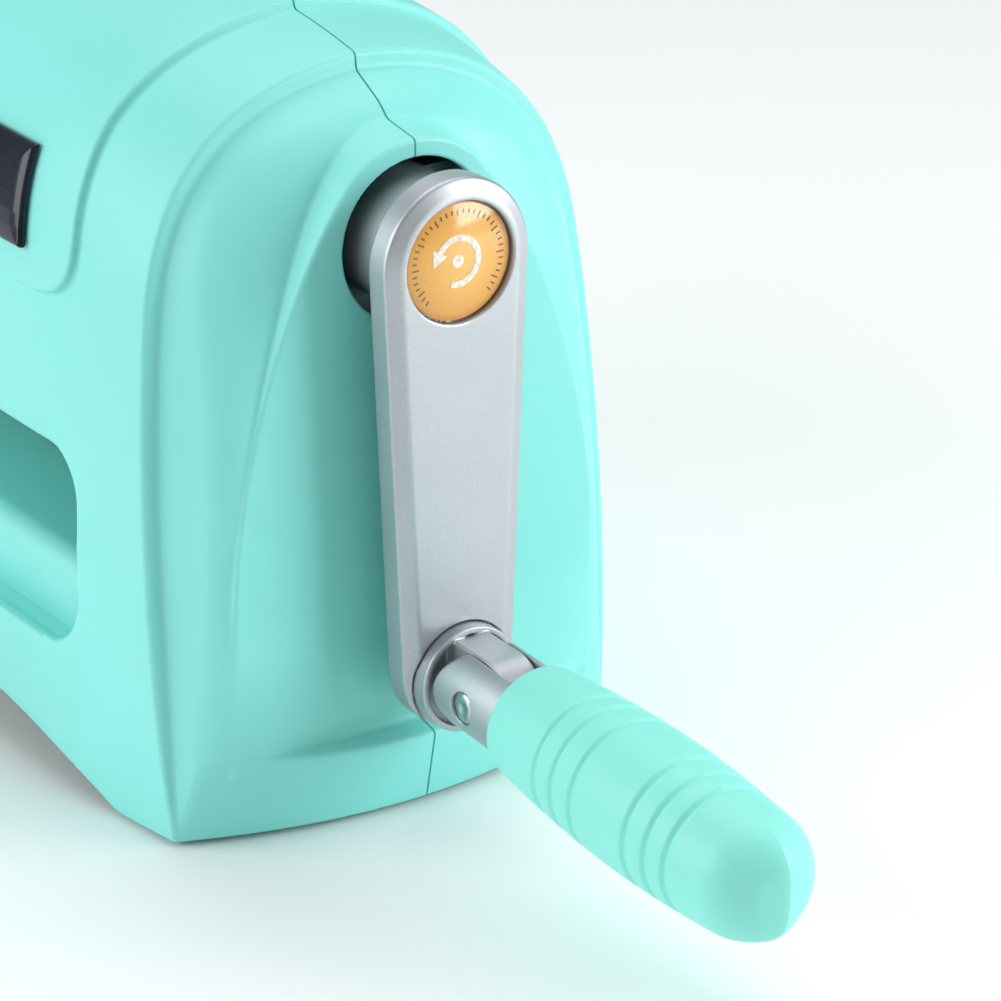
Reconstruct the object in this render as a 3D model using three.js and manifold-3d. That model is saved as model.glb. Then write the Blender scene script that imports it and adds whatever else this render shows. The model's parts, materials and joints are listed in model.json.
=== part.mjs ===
// Hand-crank die cutting machine, millimetres, +Z up, the crank at the +X end.
// The casing is two shells that meet on the Y = 0 plane.  Inside, two side plates carry a
// pair of rollers, and the crank turns them through three involute gears.  The crank arm
// ends in a clevis, so that the handle folds up along the arm, and the grip spins.
import * as THREE from "three";
import Module from "manifold-3d";
import { mergeVertices } from "three/addons/utils/BufferGeometryUtils.js";

const wasm = await Module();
wasm.setup();

// ---- driving dimensions -------------------------------------------------------------
const GAP = 0.3;                 // clearance between neighbouring pieces
const RIM_Z = 1.3;               // lower edge of the casing above the floor
const WALL = 3;                  // casing wall
const HALF_DEPTH = 67.9;         // casing, centre to front
const BODY_TOP = 181;            // casing height without the raised hood
const HUB_Z = 139;               // crank axis
const THROW = 100;               // crank axis to handle axis

// casing
const STEP_X = 101;              // where the casing steps down to the end caps, at the top
const STEP_LEAN = 0.0728;        // the step line leans outwards towards the floor
const CAP_INSET = 4;             // depth of that step
const CAP_SLOPE = 0.58;          // chamfer of the cap, inset for each mm past the step
const CAP_REACH = 38;            // the dome ends the cap before this distance past the step
const DOME = { x: 134, y: 136, above: 199, below: 260, centreZ: 61.3 };   // bulge of both ends
const TUCK = { x: 127.6, y: 132.2, slope: 0.2 };   // the ends draw in towards the floor
const HOOD_RISE = 3;
const HOOD_HALF = 80.6;
const HOOD_FOOT = 123.2;
const PAD_X = 125;               // flat face behind the crank arm
const LEDGE_Z = 21;              // ledge that the flat face stands on
const HUB_HOLE_R = 19.2;
const MOUTH = { half: 83.6, low: 38, high: 88.2, lowR: 16, highR: 12 };
const ARCH_HALF = 92;            // underside arch between the feet
const ARCH_RISE = 15;

// frame and rollers
const PLATE_X = 84;              // inner face of the side plates
const PLATE_T = 4;
const ROLLER_R = 17;
const MODULE_MM = 2;
const PINION_TEETH = 20;
const GEAR_TEETH = 26;
const PINION_R = MODULE_MM * PINION_TEETH / 2;
const GEAR_R = MODULE_MM * GEAR_TEETH / 2;
const UPPER_Z = HUB_Z - PINION_R - GEAR_R;
const LOWER_Z = UPPER_Z - 2 * GEAR_R;
const GEAR_X = 93;               // inner face of the gears
const GEAR_W = 11;
const JOURNAL_R = 7;
const SHAFT_R = 8;
const TABLE_Z = LOWER_Z + ROLLER_R - 1;
const BEARING_X = 108;           // inner face of the outer bearing plate
const BEARING_T = 3;
const BASE_MID_Z = 17.5;         // base plate, between the feet
const BASE_LOW_Z = 3;            // base plate, over the feet
const BASE_T = 2.2;

// crank and handle
const ARM_FACE_X = 142.7;
const ARM_T = 8.6;
const ARM_BEVEL = 2.8;
const ARM_TOP_R = 19.1;
const ARM_LOW_R = 15;
const ARM_END = 98;              // hub to the centre of the lower end's arc
const BOSS_R = 15.5;
const MEDAL_R = 14;
const MEDAL_DEPTH = 2.4;
const RING_R = 12.9;
const RING_PROUD = 3.2;
const PIN_X = 158;
const PIN_RISE = 0.6;            // pin above the socket's centre
const PIN_R = 2.6;
const TONGUE_W = 9.6;
const TONGUE_RISE = 10.3;        // half height of the tongue
const YOKE_R = 11.4;
const YOKE_END = 12;             // pin to the grip's end of the yoke
const NECK_R = 7.8;              // yoke inside the grip
const NECK_END = 22;
const EAR_R = 11.3;              // rounded end of the yoke, about the pin
const SLOT_END = 11;             // pin to the bottom of the yoke's slot
const DROOP = THREE.MathUtils.degToRad(3);
const SPINDLE_R = 4;
const GRIP_START = YOKE_END + GAP;
const GRIP_LENGTH = 97;

// ---- materials ----------------------------------------------------------------------
function material(color, roughness, metalness) {
  return new THREE.MeshStandardMaterial({ color, roughness, metalness });
}
const mint = material(0x9ff2e8, 0.45, 0);
const gripMint = material(0xa2f2e6, 0.4, 0);
const silver = material(0xc6ced2, 0.42, 0.5);
const steel = material(0xa9adb0, 0.35, 0.9);
const zinc = material(0xc9ccd0, 0.4, 0.9);
const bronze = material(0xb38b55, 0.5, 0.8);
const rubber = material(0x2b2e31, 0.85, 0);
const badgeBlack = material(0x20283a, 0.12, 0);
const orange = material(0xeaae4e, 0.5, 0);
const clear = material(0xf4f2ea, 0.05, 0);

// ---- solids -------------------------------------------------------------------------
function solid(geometry) {
  const bare = geometry.clone();
  bare.deleteAttribute("normal");
  bare.deleteAttribute("uv");
  const merged = mergeVertices(bare, 1e-4);
  const corners = [];
  for (let i = 0; i < merged.index.count; i += 3) {
    const [a, b, c] = [0, 1, 2].map((k) => merged.index.getX(i + k));
    if (a !== b && b !== c && c !== a) corners.push(a, b, c);
  }
  return new wasm.Manifold(new wasm.Mesh({
    numProp: 3,
    vertProperties: Float32Array.from(merged.attributes.position.array),
    triVerts: Uint32Array.from(corners),
  }));
}

function union(...parts) {
  return parts.reduce((sum, part) => sum.add(part));
}

function cut(body, ...tools) {
  return tools.reduce((rest, tool) => rest.subtract(tool), body);
}

const X = new THREE.Vector3(1, 0, 0);
const Y = new THREE.Vector3(0, 1, 0);
const Z = new THREE.Vector3(0, 0, 1);
const alongX = new THREE.Matrix4().makeBasis(Y, Z, X);
const alongY = new THREE.Matrix4().makeBasis(X, Z, Y.clone().negate());

// A shape drawn in (Y, Z) and pulled from x0 to x1.
function pullX(shape, x0, x1, options = {}) {
  const geometry = new THREE.ExtrudeGeometry(shape, {
    depth: x1 - x0, bevelEnabled: false, curveSegments: 12, ...options,
  });
  return geometry.applyMatrix4(alongX).translate(x0, 0, 0);
}

// A shape drawn in (X, Z) and pulled from y0 to y1.
function pullY(shape, y0, y1, curveSegments = 8) {
  const geometry = new THREE.ExtrudeGeometry(shape, {
    depth: y1 - y0, bevelEnabled: false, curveSegments,
  });
  return geometry.applyMatrix4(alongY).translate(0, y1, 0);
}

function box(x0, x1, y0, y1, z0, z1) {
  const geometry = new THREE.BoxGeometry(x1 - x0, y1 - y0, z1 - z0);
  return geometry.translate((x0 + x1) / 2, (y0 + y1) / 2, (z0 + z1) / 2);
}

function rodX(radius, x0, x1, y = 0, z = 0, segments = 32) {
  const geometry = new THREE.CylinderGeometry(radius, radius, x1 - x0, segments);
  return geometry.rotateZ(-Math.PI / 2).translate((x0 + x1) / 2, y, z);
}

function rodY(radius, y0, y1, x = 0, z = 0, segments = 24) {
  const geometry = new THREE.CylinderGeometry(radius, radius, y1 - y0, segments);
  return geometry.translate(x, (y0 + y1) / 2, z);
}

function rodZ(radius, z0, z1, x = 0, y = 0, segments = 24) {
  const geometry = new THREE.CylinderGeometry(radius, radius, z1 - z0, segments);
  return geometry.rotateX(Math.PI / 2).translate(x, y, (z0 + z1) / 2);
}

// A turned piece about X: the profile is a list of [x, radius] from axis to axis.
function turnX(profile, segments = 32) {
  const points = profile.map(([x, radius]) => new THREE.Vector2(radius, x));
  return new THREE.LatheGeometry(points, segments).rotateZ(-Math.PI / 2);
}

function turnZ(profile, segments = 16) {
  const points = profile.map(([z, radius]) => new THREE.Vector2(radius, z));
  return new THREE.LatheGeometry(points, segments).rotateX(Math.PI / 2);
}

function polygon(points) {
  return new THREE.Shape(points.map(([x, y]) => new THREE.Vector2(x, y)));
}

function mesh(name, shape, look) {
  const found = shape.getMesh();
  const geometry = new THREE.BufferGeometry();
  const positions = new THREE.BufferAttribute(found.vertProperties, 3);
  geometry.setAttribute("position", positions);
  geometry.setIndex(new THREE.BufferAttribute(found.triVerts, 1));
  geometry.computeVertexNormals();
  const piece = new THREE.Mesh(geometry, look);
  piece.name = name;
  return piece;
}

// ---- casing -------------------------------------------------------------------------
// Half of the arched end view: a slightly bowed side, a round shoulder and a low crown.
const sideCurve = new THREE.CubicBezierCurve(
  new THREE.Vector2(65, RIM_Z), new THREE.Vector2(69.8, 38),
  new THREE.Vector2(68.2, 92), new THREE.Vector2(63, 129));
const crownCurve = new THREE.CubicBezierCurve(
  new THREE.Vector2(63, 129), new THREE.Vector2(58.5, 161),
  new THREE.Vector2(39.5, 179), new THREE.Vector2(0, BODY_TOP));

function archShape() {
  const half = [...sideCurve.getPoints(4), ...crownCurve.getPoints(7).slice(1)];
  const other = half.slice(0, -1).reverse().map((p) => new THREE.Vector2(-p.x, p.y));
  return new THREE.Shape([...half, ...other]);
}

// Moves every vertex of the arch: an inset shrinks the outline towards its axis.
function bend(geometry, place) {
  const position = geometry.attributes.position;
  for (let i = 0; i < position.count; i += 1) {
    const [x, y, z] = place(position.getX(i), position.getY(i), position.getZ(i));
    position.setXYZ(i, x, y, z);
  }
  return geometry;
}

function shrink(y, z, inset) {
  return [y * (1 - inset / HALF_DEPTH), z > RIM_Z ? z * (1 - inset / BODY_TOP) : z];
}

// The casing narrows slightly near its ends.
function taper(x) {
  return 4.6 * Math.max(0, (Math.abs(x) - 55) / 45) ** 2;
}

function stepAt(z) {
  return 1 + (BODY_TOP - z) * STEP_LEAN / STEP_X;
}

function bodyLoft(inset, reach) {
  const loft = pullX(archShape(), -reach, reach, { steps: 6 });
  return solid(bend(loft, (x, y, z) => {
    const [newY, newZ] = shrink(y, z, inset + taper(x));
    return [x * stepAt(z), newY, newZ];
  }));
}

function dome(inset) {
  const sphere = new THREE.SphereGeometry(1, 32, 28).rotateZ(Math.PI / 2);
  return solid(bend(sphere, (x, y, z) => {
    const tall = z > 0 ? DOME.above : DOME.below;
    return [x * (DOME.x - inset), y * (DOME.y - inset), DOME.centreZ + z * (tall - inset)];
  }));
}

function tuck(inset) {
  const tall = 500;
  const sphere = new THREE.SphereGeometry(1, 32, 28).rotateZ(Math.PI / 2);
  return solid(bend(sphere, (x, y, z) => {
    const height = z * tall;
    const lean = Math.sign(x) * TUCK.slope * Math.max(height, -RIM_Z);
    return [x * (TUCK.x - inset) + lean, y * (TUCK.y - inset), RIM_Z + height];
  }));
}

function capSolid(inset, side) {
  return capLoft(inset, side).intersect(dome(inset)).intersect(tuck(inset));
}

function capLoft(inset, side) {
  const loft = pullX(archShape(), -1 - inset, CAP_REACH, { steps: 2 });
  const placed = bend(loft, (x, y, z) => {
    const chamfer = CAP_SLOPE * Math.max(0, x);
    const [newY, newZ] = shrink(y, z, inset + taper(STEP_X) + CAP_INSET + chamfer);
    return [side * (STEP_X * stepAt(z) + x), newY, newZ];
  });
  return side < 0 ? mirrored(placed) : solid(placed);
}

function mirrored(geometry) {
  const position = geometry.attributes.position;
  const turned = geometry.clone();
  for (let i = 0; i < position.count; i += 3) {
    for (const [from, to] of [[0, 0], [1, 2], [2, 1]]) {
      turned.attributes.position.setXYZ(i + to, position.getX(i + from),
        position.getY(i + from), position.getZ(i + from));
    }
  }
  return solid(turned);
}

// The raised pad behind the arm: a round top about the hub, flaring into straight sides.
function padShape(grow) {
  const top = 23.5 + grow;
  const lean = 0.6;
  const right = new THREE.Vector2(top * Math.cos(lean), HUB_Z + top * Math.sin(lean));
  const flare = new THREE.CubicBezierCurve(
    new THREE.Vector2(-right.x, right.y), new THREE.Vector2(-29 - grow, 142),
    new THREE.Vector2(-48 - grow, 102), new THREE.Vector2(-49.5 - grow, 58));
  const left = flare.getPoints(4);
  const shape = new THREE.Shape();
  shape.moveTo(right.x, right.y);
  shape.absarc(0, HUB_Z, top, lean, Math.PI - lean, false);
  left.slice(1).forEach((p) => shape.lineTo(p.x, p.y));
  left.slice(1).reverse().forEach((p) => shape.lineTo(-p.x, p.y));
  return shape;
}

function pad(side) {
  const start = 100;
  const geometry = pullX(padShape(0), start, PAD_X, { curveSegments: 7 });
  const middle = HUB_Z - 30;
  const drafted = bend(geometry, (x, y, z) => {
    const grow = 1 + 0.0018 * (PAD_X - x);
    return [side * x, y * grow, middle + (z - middle) * grow];
  });
  return side < 0 ? mirrored(drafted) : solid(drafted);
}

function hood() {
  const loft = pullX(archShape(), -HOOD_HALF, HOOD_HALF, { steps: 5 });
  const raised = solid(bend(loft, (x, y, z) => [x, ...shrink(y, z, taper(x) - HOOD_RISE)]));
  const high = BODY_TOP + 20;
  const outline = new THREE.Shape();
  const neck = HOOD_HALF - 4.2;
  outline.moveTo(-neck, high);
  outline.lineTo(-neck, HOOD_FOOT + 40);
  outline.lineTo(-HOOD_HALF, HOOD_FOOT + 14);
  outline.bezierCurveTo(-HOOD_HALF - 1, HOOD_FOOT + 4, -76, HOOD_FOOT, -64, HOOD_FOOT);
  outline.lineTo(64, HOOD_FOOT);
  outline.bezierCurveTo(76, HOOD_FOOT, HOOD_HALF + 1, HOOD_FOOT + 4, HOOD_HALF, HOOD_FOOT + 14);
  outline.lineTo(neck, HOOD_FOOT + 40);
  outline.lineTo(neck, high);
  return raised.intersect(solid(pullY(outline, -90, 90, 5)));
}

function mouthShape() {
  const { half, low, high, lowR, highR } = MOUTH;
  const shape = new THREE.Shape();
  shape.moveTo(-half + lowR, low);
  shape.absarc(half - lowR, low + lowR, lowR, -Math.PI / 2, 0, false);
  shape.absarc(half - highR, high - highR, highR, 0, Math.PI / 2, false);
  shape.absarc(-half + highR, high - highR, highR, Math.PI / 2, Math.PI, false);
  shape.absarc(-half + lowR, low + lowR, lowR, Math.PI, Math.PI * 1.5, false);
  return shape;
}

function archCut() {
  const shape = new THREE.Shape();
  shape.moveTo(-ARCH_HALF, -1);
  shape.lineTo(-ARCH_HALF, RIM_Z);
  shape.bezierCurveTo(-ARCH_HALF + 3, 9, -60, RIM_Z + ARCH_RISE, 0, RIM_Z + ARCH_RISE);
  shape.bezierCurveTo(60, RIM_Z + ARCH_RISE, ARCH_HALF - 3, 9, ARCH_HALF, RIM_Z);
  shape.lineTo(ARCH_HALF, -1);
  return solid(pullY(shape, -80, 80, 5));
}

// The space in front of the flat face, over the ledge.
function endSpace(side, from, low) {
  const far = 150;
  return solid(box(Math.min(side * from, side * far), Math.max(side * from, side * far),
    -90, 90, low, BODY_TOP + 20));
}

// The whole outer form, and the hollow inside it.
function casingSolid() {
  const ends = [1, -1].map((side) => capSolid(0, side).add(pad(side)));
  const outer = union(bodyLoft(0, STEP_X), hood(), ...ends);
  const scoops = [1, -1].map((side) => endSpace(side, PAD_X, LEDGE_Z));
  return cut(outer, ...scoops, archCut());
}

function hollowSolid(gap) {
  const ends = [1, -1].map((side) => capSolid(WALL + gap, side));
  const inner = union(bodyLoft(WALL + gap, STEP_X - WALL - gap), ...ends);
  const floor = solid(box(-120, 120, -80, 80, -20, RIM_Z + 8));
  const under = inner.intersect(solid(box(-200, 200, -80, 80, RIM_Z, RIM_Z + 5)));
  const open = under.translate([0, 0, -4]).intersect(floor.add(under));
  const inward = WALL + gap;
  const backs = [1, -1].map((side) => endSpace(side, PAD_X - inward, LEDGE_Z - inward));
  return cut(inner.add(open), ...backs);
}

// A guard inside each mouth slopes down to the rollers.
function mouthGuard(side) {
  const profile = polygon([[-65.8, MOUTH.high + 0.4], [-24, MOUTH.high - 7.5],
    [-24, MOUTH.high - 4.5], [-65.8, MOUTH.high + 3.4]].map(([y, z]) => [side * -y, z]));
  return solid(pullX(profile, -PLATE_X + 1, PLATE_X - 1));
}

const BOSS_AT = { x: 118, y: 20, r: 4.5, top: 40 };

function casing() {
  const mouth = solid(pullY(mouthShape(), -90, 90, 4));
  let shell = cut(casingSolid(), hollowSolid(0), mouth);
  shell = cut(shell, solid(rodX(HUB_HOLE_R, PAD_X - 30, PAD_X + 10, 0, HUB_Z, 28)));
  for (const side of [1, -1]) {
    shell = shell.add(mouthGuard(side));
    for (const end of [1, -1]) {
      const boss = rodZ(BOSS_AT.r, 6, BOSS_AT.top, end * BOSS_AT.x, side * BOSS_AT.y, 8);
      const hole = rodZ(1.9, 0, 26, end * BOSS_AT.x, side * BOSS_AT.y, 8);
      shell = cut(shell.add(solid(boss)), solid(hole));
    }
  }
  return shell;
}

const whole = casing();
const seam = 0.15;
const frontShell = whole.intersect(solid(box(-200, 200, -90, -seam, -10, 200)));
const rearShell = whole.intersect(solid(box(-200, 200, seam, 90, -10, 200)));

// The badge follows the front of the hood.
function badge() {
  const front = [];
  for (const rise of [HOOD_RISE + GAP, HOOD_RISE + 2.6]) {
    const loft = pullX(archShape(), -HOOD_HALF, HOOD_HALF, { steps: 5 });
    front.push(solid(bend(loft, (x, y, z) => [x, ...shrink(y, z, taper(x) - rise)])));
  }
  const face = polygon([[-64.1, 132.4], [64.1, 132.4], [60.1, 154.5], [-60.1, 154.5]]);
  const block = solid(pullY(face, -90, -30));
  return cut(front[1], front[0]).intersect(block);
}

// ---- frame --------------------------------------------------------------------------
const TIE_RODS = {
  upper_front: [-34, 148], upper_rear: [34, 148], lower_front: [-37, 31], lower_rear: [37, 31],
};
const TIE_R = 4;
const TIE_NECK = 2.6;
const FLANGE = 12;
const BUSH_R = 10;
const PLATE_SCREWS = { x: 77, y: 34 };

function sidePlate(end, name) {
  const profile = polygon([[-44, 20.2], [44, 20.2], [44, 132], [24, 162], [-24, 162], [-44, 132]]);
  let plate = solid(pullX(profile, PLATE_X, PLATE_X + PLATE_T));
  plate = plate.add(solid(box(PLATE_X - FLANGE, PLATE_X + 1, -44, 44, 20.2, 22.4)));
  for (const z of end > 0 ? [LOWER_Z, UPPER_Z, HUB_Z] : [LOWER_Z, UPPER_Z]) {
    plate = cut(plate, solid(rodX(BUSH_R + 0.2, PLATE_X - 2, PLATE_X + 8, 0, z, 16)));
  }
  for (const [y, z] of Object.values(TIE_RODS)) {
    plate = cut(plate, solid(rodX(TIE_NECK + 0.2, PLATE_X - 2, PLATE_X + 8, y, z, 8)));
  }
  for (const [y, z] of end > 0 ? Object.values(POSTS) : []) {
    plate = cut(plate, solid(rodX(TIE_NECK + 0.2, PLATE_X - 2, PLATE_X + 8, y, z, 8)));
  }
  for (const y of [-PLATE_SCREWS.y, PLATE_SCREWS.y]) {
    plate = cut(plate, solid(rodZ(2, 18, 24, PLATE_SCREWS.x, y, 8)));
  }
  const placed = mesh(name, plate, steel);
  placed.rotation.z = end < 0 ? Math.PI : 0;
  return placed;
}

// Four posts hold the outer bearing plate off the crank-side plate.
const POSTS = {
  upper_front: [-26, 145.5], upper_rear: [26, 145.5], lower_front: [-34, 112], lower_rear: [34, 112],
};

function bearingPlate() {
  const profile = polygon([[-39, 106], [39, 106], [39, 122], [29, 150], [-29, 150], [-39, 122]]);
  let plate = solid(pullX(profile, BEARING_X, BEARING_X + BEARING_T));
  plate = cut(plate, solid(rodX(SHAFT_R + 3.2, 100, 120, 0, HUB_Z, 16)));
  for (const [y, z] of Object.values(POSTS)) {
    plate = cut(plate, solid(rodX(TIE_NECK + 0.2, 100, 120, y, z, 8)));
  }
  return plate;
}

// A stay with riveted ends between two plates.
function stay(from, to, nearPlate, farPlate) {
  const near = from - nearPlate - 0.1;
  const far = to + farPlate + 0.1;
  const head = 2;
  return solid(turnX([
    [near - head, 0], [near - head, TIE_R], [near, TIE_R], [near, TIE_NECK],
    [from + 0.1, TIE_NECK], [from + 0.1, TIE_R], [to - 0.1, TIE_R], [to - 0.1, TIE_NECK],
    [far, TIE_NECK], [far, TIE_R], [far + head, TIE_R], [far + head, 0],
  ], 8));
}

function bush(inner, outer, x0, x1, flange) {
  const body = solid(turnX([
    [x0, 0], [x0, flange], [x0 + 1.2, flange], [x0 + 1.2, outer], [x1, outer], [x1, 0],
  ], 16));
  return cut(body, solid(rodX(inner, x0 - 5, x1 + 5, 0, 0, 16)));
}

// The feed table is a rolled-over sheet: a flat top, a round nose and a front wall.
function feedTable(side) {
  const nose = 5;
  const front = 60.5;
  const back = 20;
  const sheet = 2.6;
  const outer = new THREE.Shape();
  outer.moveTo(back, TABLE_Z - sheet);
  outer.lineTo(back, TABLE_Z);
  outer.absarc(front - nose, TABLE_Z - nose, nose, Math.PI / 2, 0, true);
  outer.lineTo(front - 1.5, 33);
  outer.lineTo(front - 1.5 - sheet, 33);
  outer.absarc(front - nose, TABLE_Z - nose, nose - sheet, 0, Math.PI / 2, false);
  const sheetShape = side > 0 ? outer : flipped(outer);
  return solid(pullX(sheetShape, -PLATE_X + 0.8, PLATE_X - 0.8, { curveSegments: 5 }));
}

function flipped(shape) {
  return new THREE.Shape(shape.getPoints(5).map((p) => new THREE.Vector2(-p.x, p.y)).reverse());
}

// A folded base plate: high between the side plates, low over the feet.
function basePlate() {
  const reach = 127;
  const top = [[0, BASE_MID_Z + BASE_T], [89, BASE_MID_Z + BASE_T], [90.5, BASE_LOW_Z + BASE_T],
    [reach, BASE_LOW_Z + BASE_T]];
  const under = [[reach, BASE_LOW_Z], [88.3, BASE_LOW_Z], [86.8, BASE_MID_Z], [0, BASE_MID_Z]];
  const right = [...top, ...under];
  const left = [...right].slice(1, -1).reverse().map(([x, z]) => [-x, z]);
  const profile = polygon([...right, ...left].reverse());
  let plate = solid(pullY(profile, -57, 57)).intersect(hollowSolid(0.5));
  for (const x of [-1, 1]) {
    for (const y of [-1, 1]) {
      plate = cut(plate,
        solid(rodZ(2, 14, 24, x * PLATE_SCREWS.x, y * PLATE_SCREWS.y, 8)),
        solid(rodZ(2.2, 0, 8, x * BOSS_AT.x, y * BOSS_AT.y, 8)),
        solid(rodZ(2.3, 0, 8, x * FOOT_AT.x, y * FOOT_AT.y, 8)));
    }
  }
  return plate;
}

const FOOT_AT = { x: 106, y: 42 };

// A rubber foot with a barbed stem through the base plate.
function foot() {
  const top = BASE_LOW_Z - 0.1;
  return solid(turnZ([
    [0, 0], [0, 7.2], [0.8, 8], [top, 8], [top, 2], [BASE_LOW_Z + BASE_T + 0.2, 2],
    [BASE_LOW_Z + BASE_T + 0.2, 3.2], [BASE_LOW_Z + BASE_T + 3, 1.5],
    [BASE_LOW_Z + BASE_T + 3, 0],
  ], 12));
}

function screwUp(headZ, length, shank) {
  return solid(turnZ([
    [headZ, 0], [headZ, 2.6], [headZ + 0.7, 3.4], [headZ + 2, 3.4], [headZ + 2, shank],
    [headZ + 2 + length, shank], [headZ + 2 + length, 0],
  ], 8));
}

// ---- rollers and gears --------------------------------------------------------------
function gearShape(teeth) {
  const pitch = MODULE_MM * teeth / 2;
  const pressure = THREE.MathUtils.degToRad(20);
  const base = pitch * Math.cos(pressure);
  const tip = pitch + 0.95 * MODULE_MM;
  const root = pitch - 1.3 * MODULE_MM;
  const thickness = Math.PI * MODULE_MM / 2 - 0.4;
  const involute = (angle) => Math.tan(angle) - angle;
  const halfAngle = (radius) => {
    const angle = radius > base ? Math.acos(base / radius) : 0;
    return thickness / (2 * pitch) + involute(pressure) - involute(angle);
  };
  const radii = [root, (base + pitch) / 2, tip];
  const points = [];
  for (let tooth = 0; tooth < teeth; tooth += 1) {
    const centre = 2 * Math.PI * tooth / teeth;
    const flank = (radius, sign) => {
      const turn = centre + sign * halfAngle(radius);
      points.push(new THREE.Vector2(radius * Math.cos(turn), radius * Math.sin(turn)));
    };
    radii.forEach((radius) => flank(radius, -1));
    [...radii].reverse().forEach((radius) => flank(radius, 1));
  }
  return new THREE.Shape(points);
}

function gear(teeth, bore) {
  const wheel = solid(pullX(gearShape(teeth), GEAR_X, GEAR_X + GEAR_W));
  return cut(wheel, solid(rodX(bore, GEAR_X - 5, GEAR_X + GEAR_W + 5, 0, 0, 12)));
}

const END_R = 5.5;               // roller end that carries the gear

function roller(barrel) {
  const shoulder = PLATE_X + PLATE_T + 2;
  return solid(turnX([
    [-shoulder - 4, 0], [-shoulder - 4, JOURNAL_R], [-barrel, JOURNAL_R],
    [-barrel, ROLLER_R - 1], [-barrel + 1, ROLLER_R], [barrel - 1, ROLLER_R],
    [barrel, ROLLER_R - 1], [barrel, JOURNAL_R], [shoulder, JOURNAL_R], [shoulder, END_R],
    [GEAR_X + GEAR_W + 5, END_R], [GEAR_X + GEAR_W + 5, 0],
  ], 24));
}

function washer(inner, outer, x0, x1) {
  return cut(solid(rodX(outer, x0, x1, 0, 0, 12)), solid(rodX(inner, x0 - 1, x1 + 1, 0, 0, 12)));
}

// ---- crank --------------------------------------------------------------------------
// Two discs joined by their common tangents, drawn in (Y, Z) about the hub.
function linkShape(topR, lowR, length) {
  const lean = Math.asin((topR - lowR) / length);
  const shape = new THREE.Shape();
  shape.absarc(0, 0, topR, -lean, Math.PI + lean, false);
  shape.absarc(0, -length, lowR, Math.PI + lean, 2 * Math.PI - lean, false);
  return shape;
}

const ARM_BACK_X = ARM_FACE_X - ARM_T;
const BOSS_END_X = BEARING_X + BEARING_T + 1.8;
const SHAFT_END_X = ARM_BACK_X + 0.6;

function crankArm() {
  const face = linkShape(ARM_TOP_R - ARM_BEVEL, ARM_LOW_R - ARM_BEVEL, ARM_END);
  let arm = solid(pullX(face, ARM_BACK_X + ARM_BEVEL, ARM_FACE_X - ARM_BEVEL, {
    bevelEnabled: true, bevelSize: ARM_BEVEL, bevelThickness: ARM_BEVEL, bevelSegments: 2,
    curveSegments: 10,
  }));
  arm = arm.add(solid(rodX(BOSS_R, BOSS_END_X, ARM_BACK_X + 1, 0, 0, 24)));
  return cut(arm,
    solid(rodX(SHAFT_R + 0.2, BOSS_END_X - 5, SHAFT_END_X + 0.2, 0, 0, 16)),
    solid(rodX(3.3, SHAFT_END_X - 1, ARM_FACE_X + 1, 0, 0, 8)),
    solid(rodX(7.6, ARM_FACE_X - 6.6, ARM_FACE_X + 1, 0, 0, 12)),
    solid(rodX(MEDAL_R + 0.1, ARM_FACE_X - MEDAL_DEPTH, ARM_FACE_X + 1, 0, 0, 32)),
    solid(rodX(RING_R + 0.2, ARM_FACE_X - 2, ARM_FACE_X + 1, 0, -THROW, 24)),
    solid(rodX(2.7, ARM_BACK_X - 1, ARM_FACE_X + 1, 0, -THROW, 8)),
    solid(rodX(5.2, ARM_BACK_X - 1, ARM_BACK_X + 4.2, 0, -THROW, 12)));
}

function crankShaft() {
  const bar = solid(turnX([
    [PLATE_X - 4, 0], [PLATE_X - 4, SHAFT_R - 1], [PLATE_X - 3, SHAFT_R],
    [SHAFT_END_X, SHAFT_R], [SHAFT_END_X, 0],
  ], 16));
  return cut(bar, solid(rodX(3, SHAFT_END_X - 12, SHAFT_END_X + 1, 0, 0, 8)));
}

function armScrew() {
  const head = ARM_FACE_X - 6.4;
  const bolt = solid(turnX([
    [SHAFT_END_X - 11, 0], [SHAFT_END_X - 11, 2.7], [head, 2.7], [head, 7],
    [head + 3.2, 7], [head + 3.8, 6.4], [head + 3.8, 0],
  ], 12));
  const socket = new THREE.CylinderGeometry(3, 3, 5, 6).rotateZ(-Math.PI / 2);
  return cut(bolt, solid(socket.translate(head + 4.5, 0, 0)));
}

function medallionPrint() {
  const back = ARM_FACE_X - MEDAL_DEPTH + 0.1;
  return solid(rodX(MEDAL_R - 0.25, back, back + 0.9, 0, 0, 32));
}

function medallionDome() {
  const back = ARM_FACE_X - MEDAL_DEPTH + 1.1;
  const rise = 2.2;
  const rings = 3;
  const profile = [[back, 0], [back, MEDAL_R - 0.25]];
  for (let ring = 0; ring <= rings; ring += 1) {
    const turn = (Math.PI / 2) * ring / rings;
    profile.push([back + 0.4 + (rise - 0.4) * Math.sin(turn), (MEDAL_R - 0.25) * Math.cos(turn)]);
  }
  profile[profile.length - 1][1] = 0;
  return solid(turnX(profile, 32));
}

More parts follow.
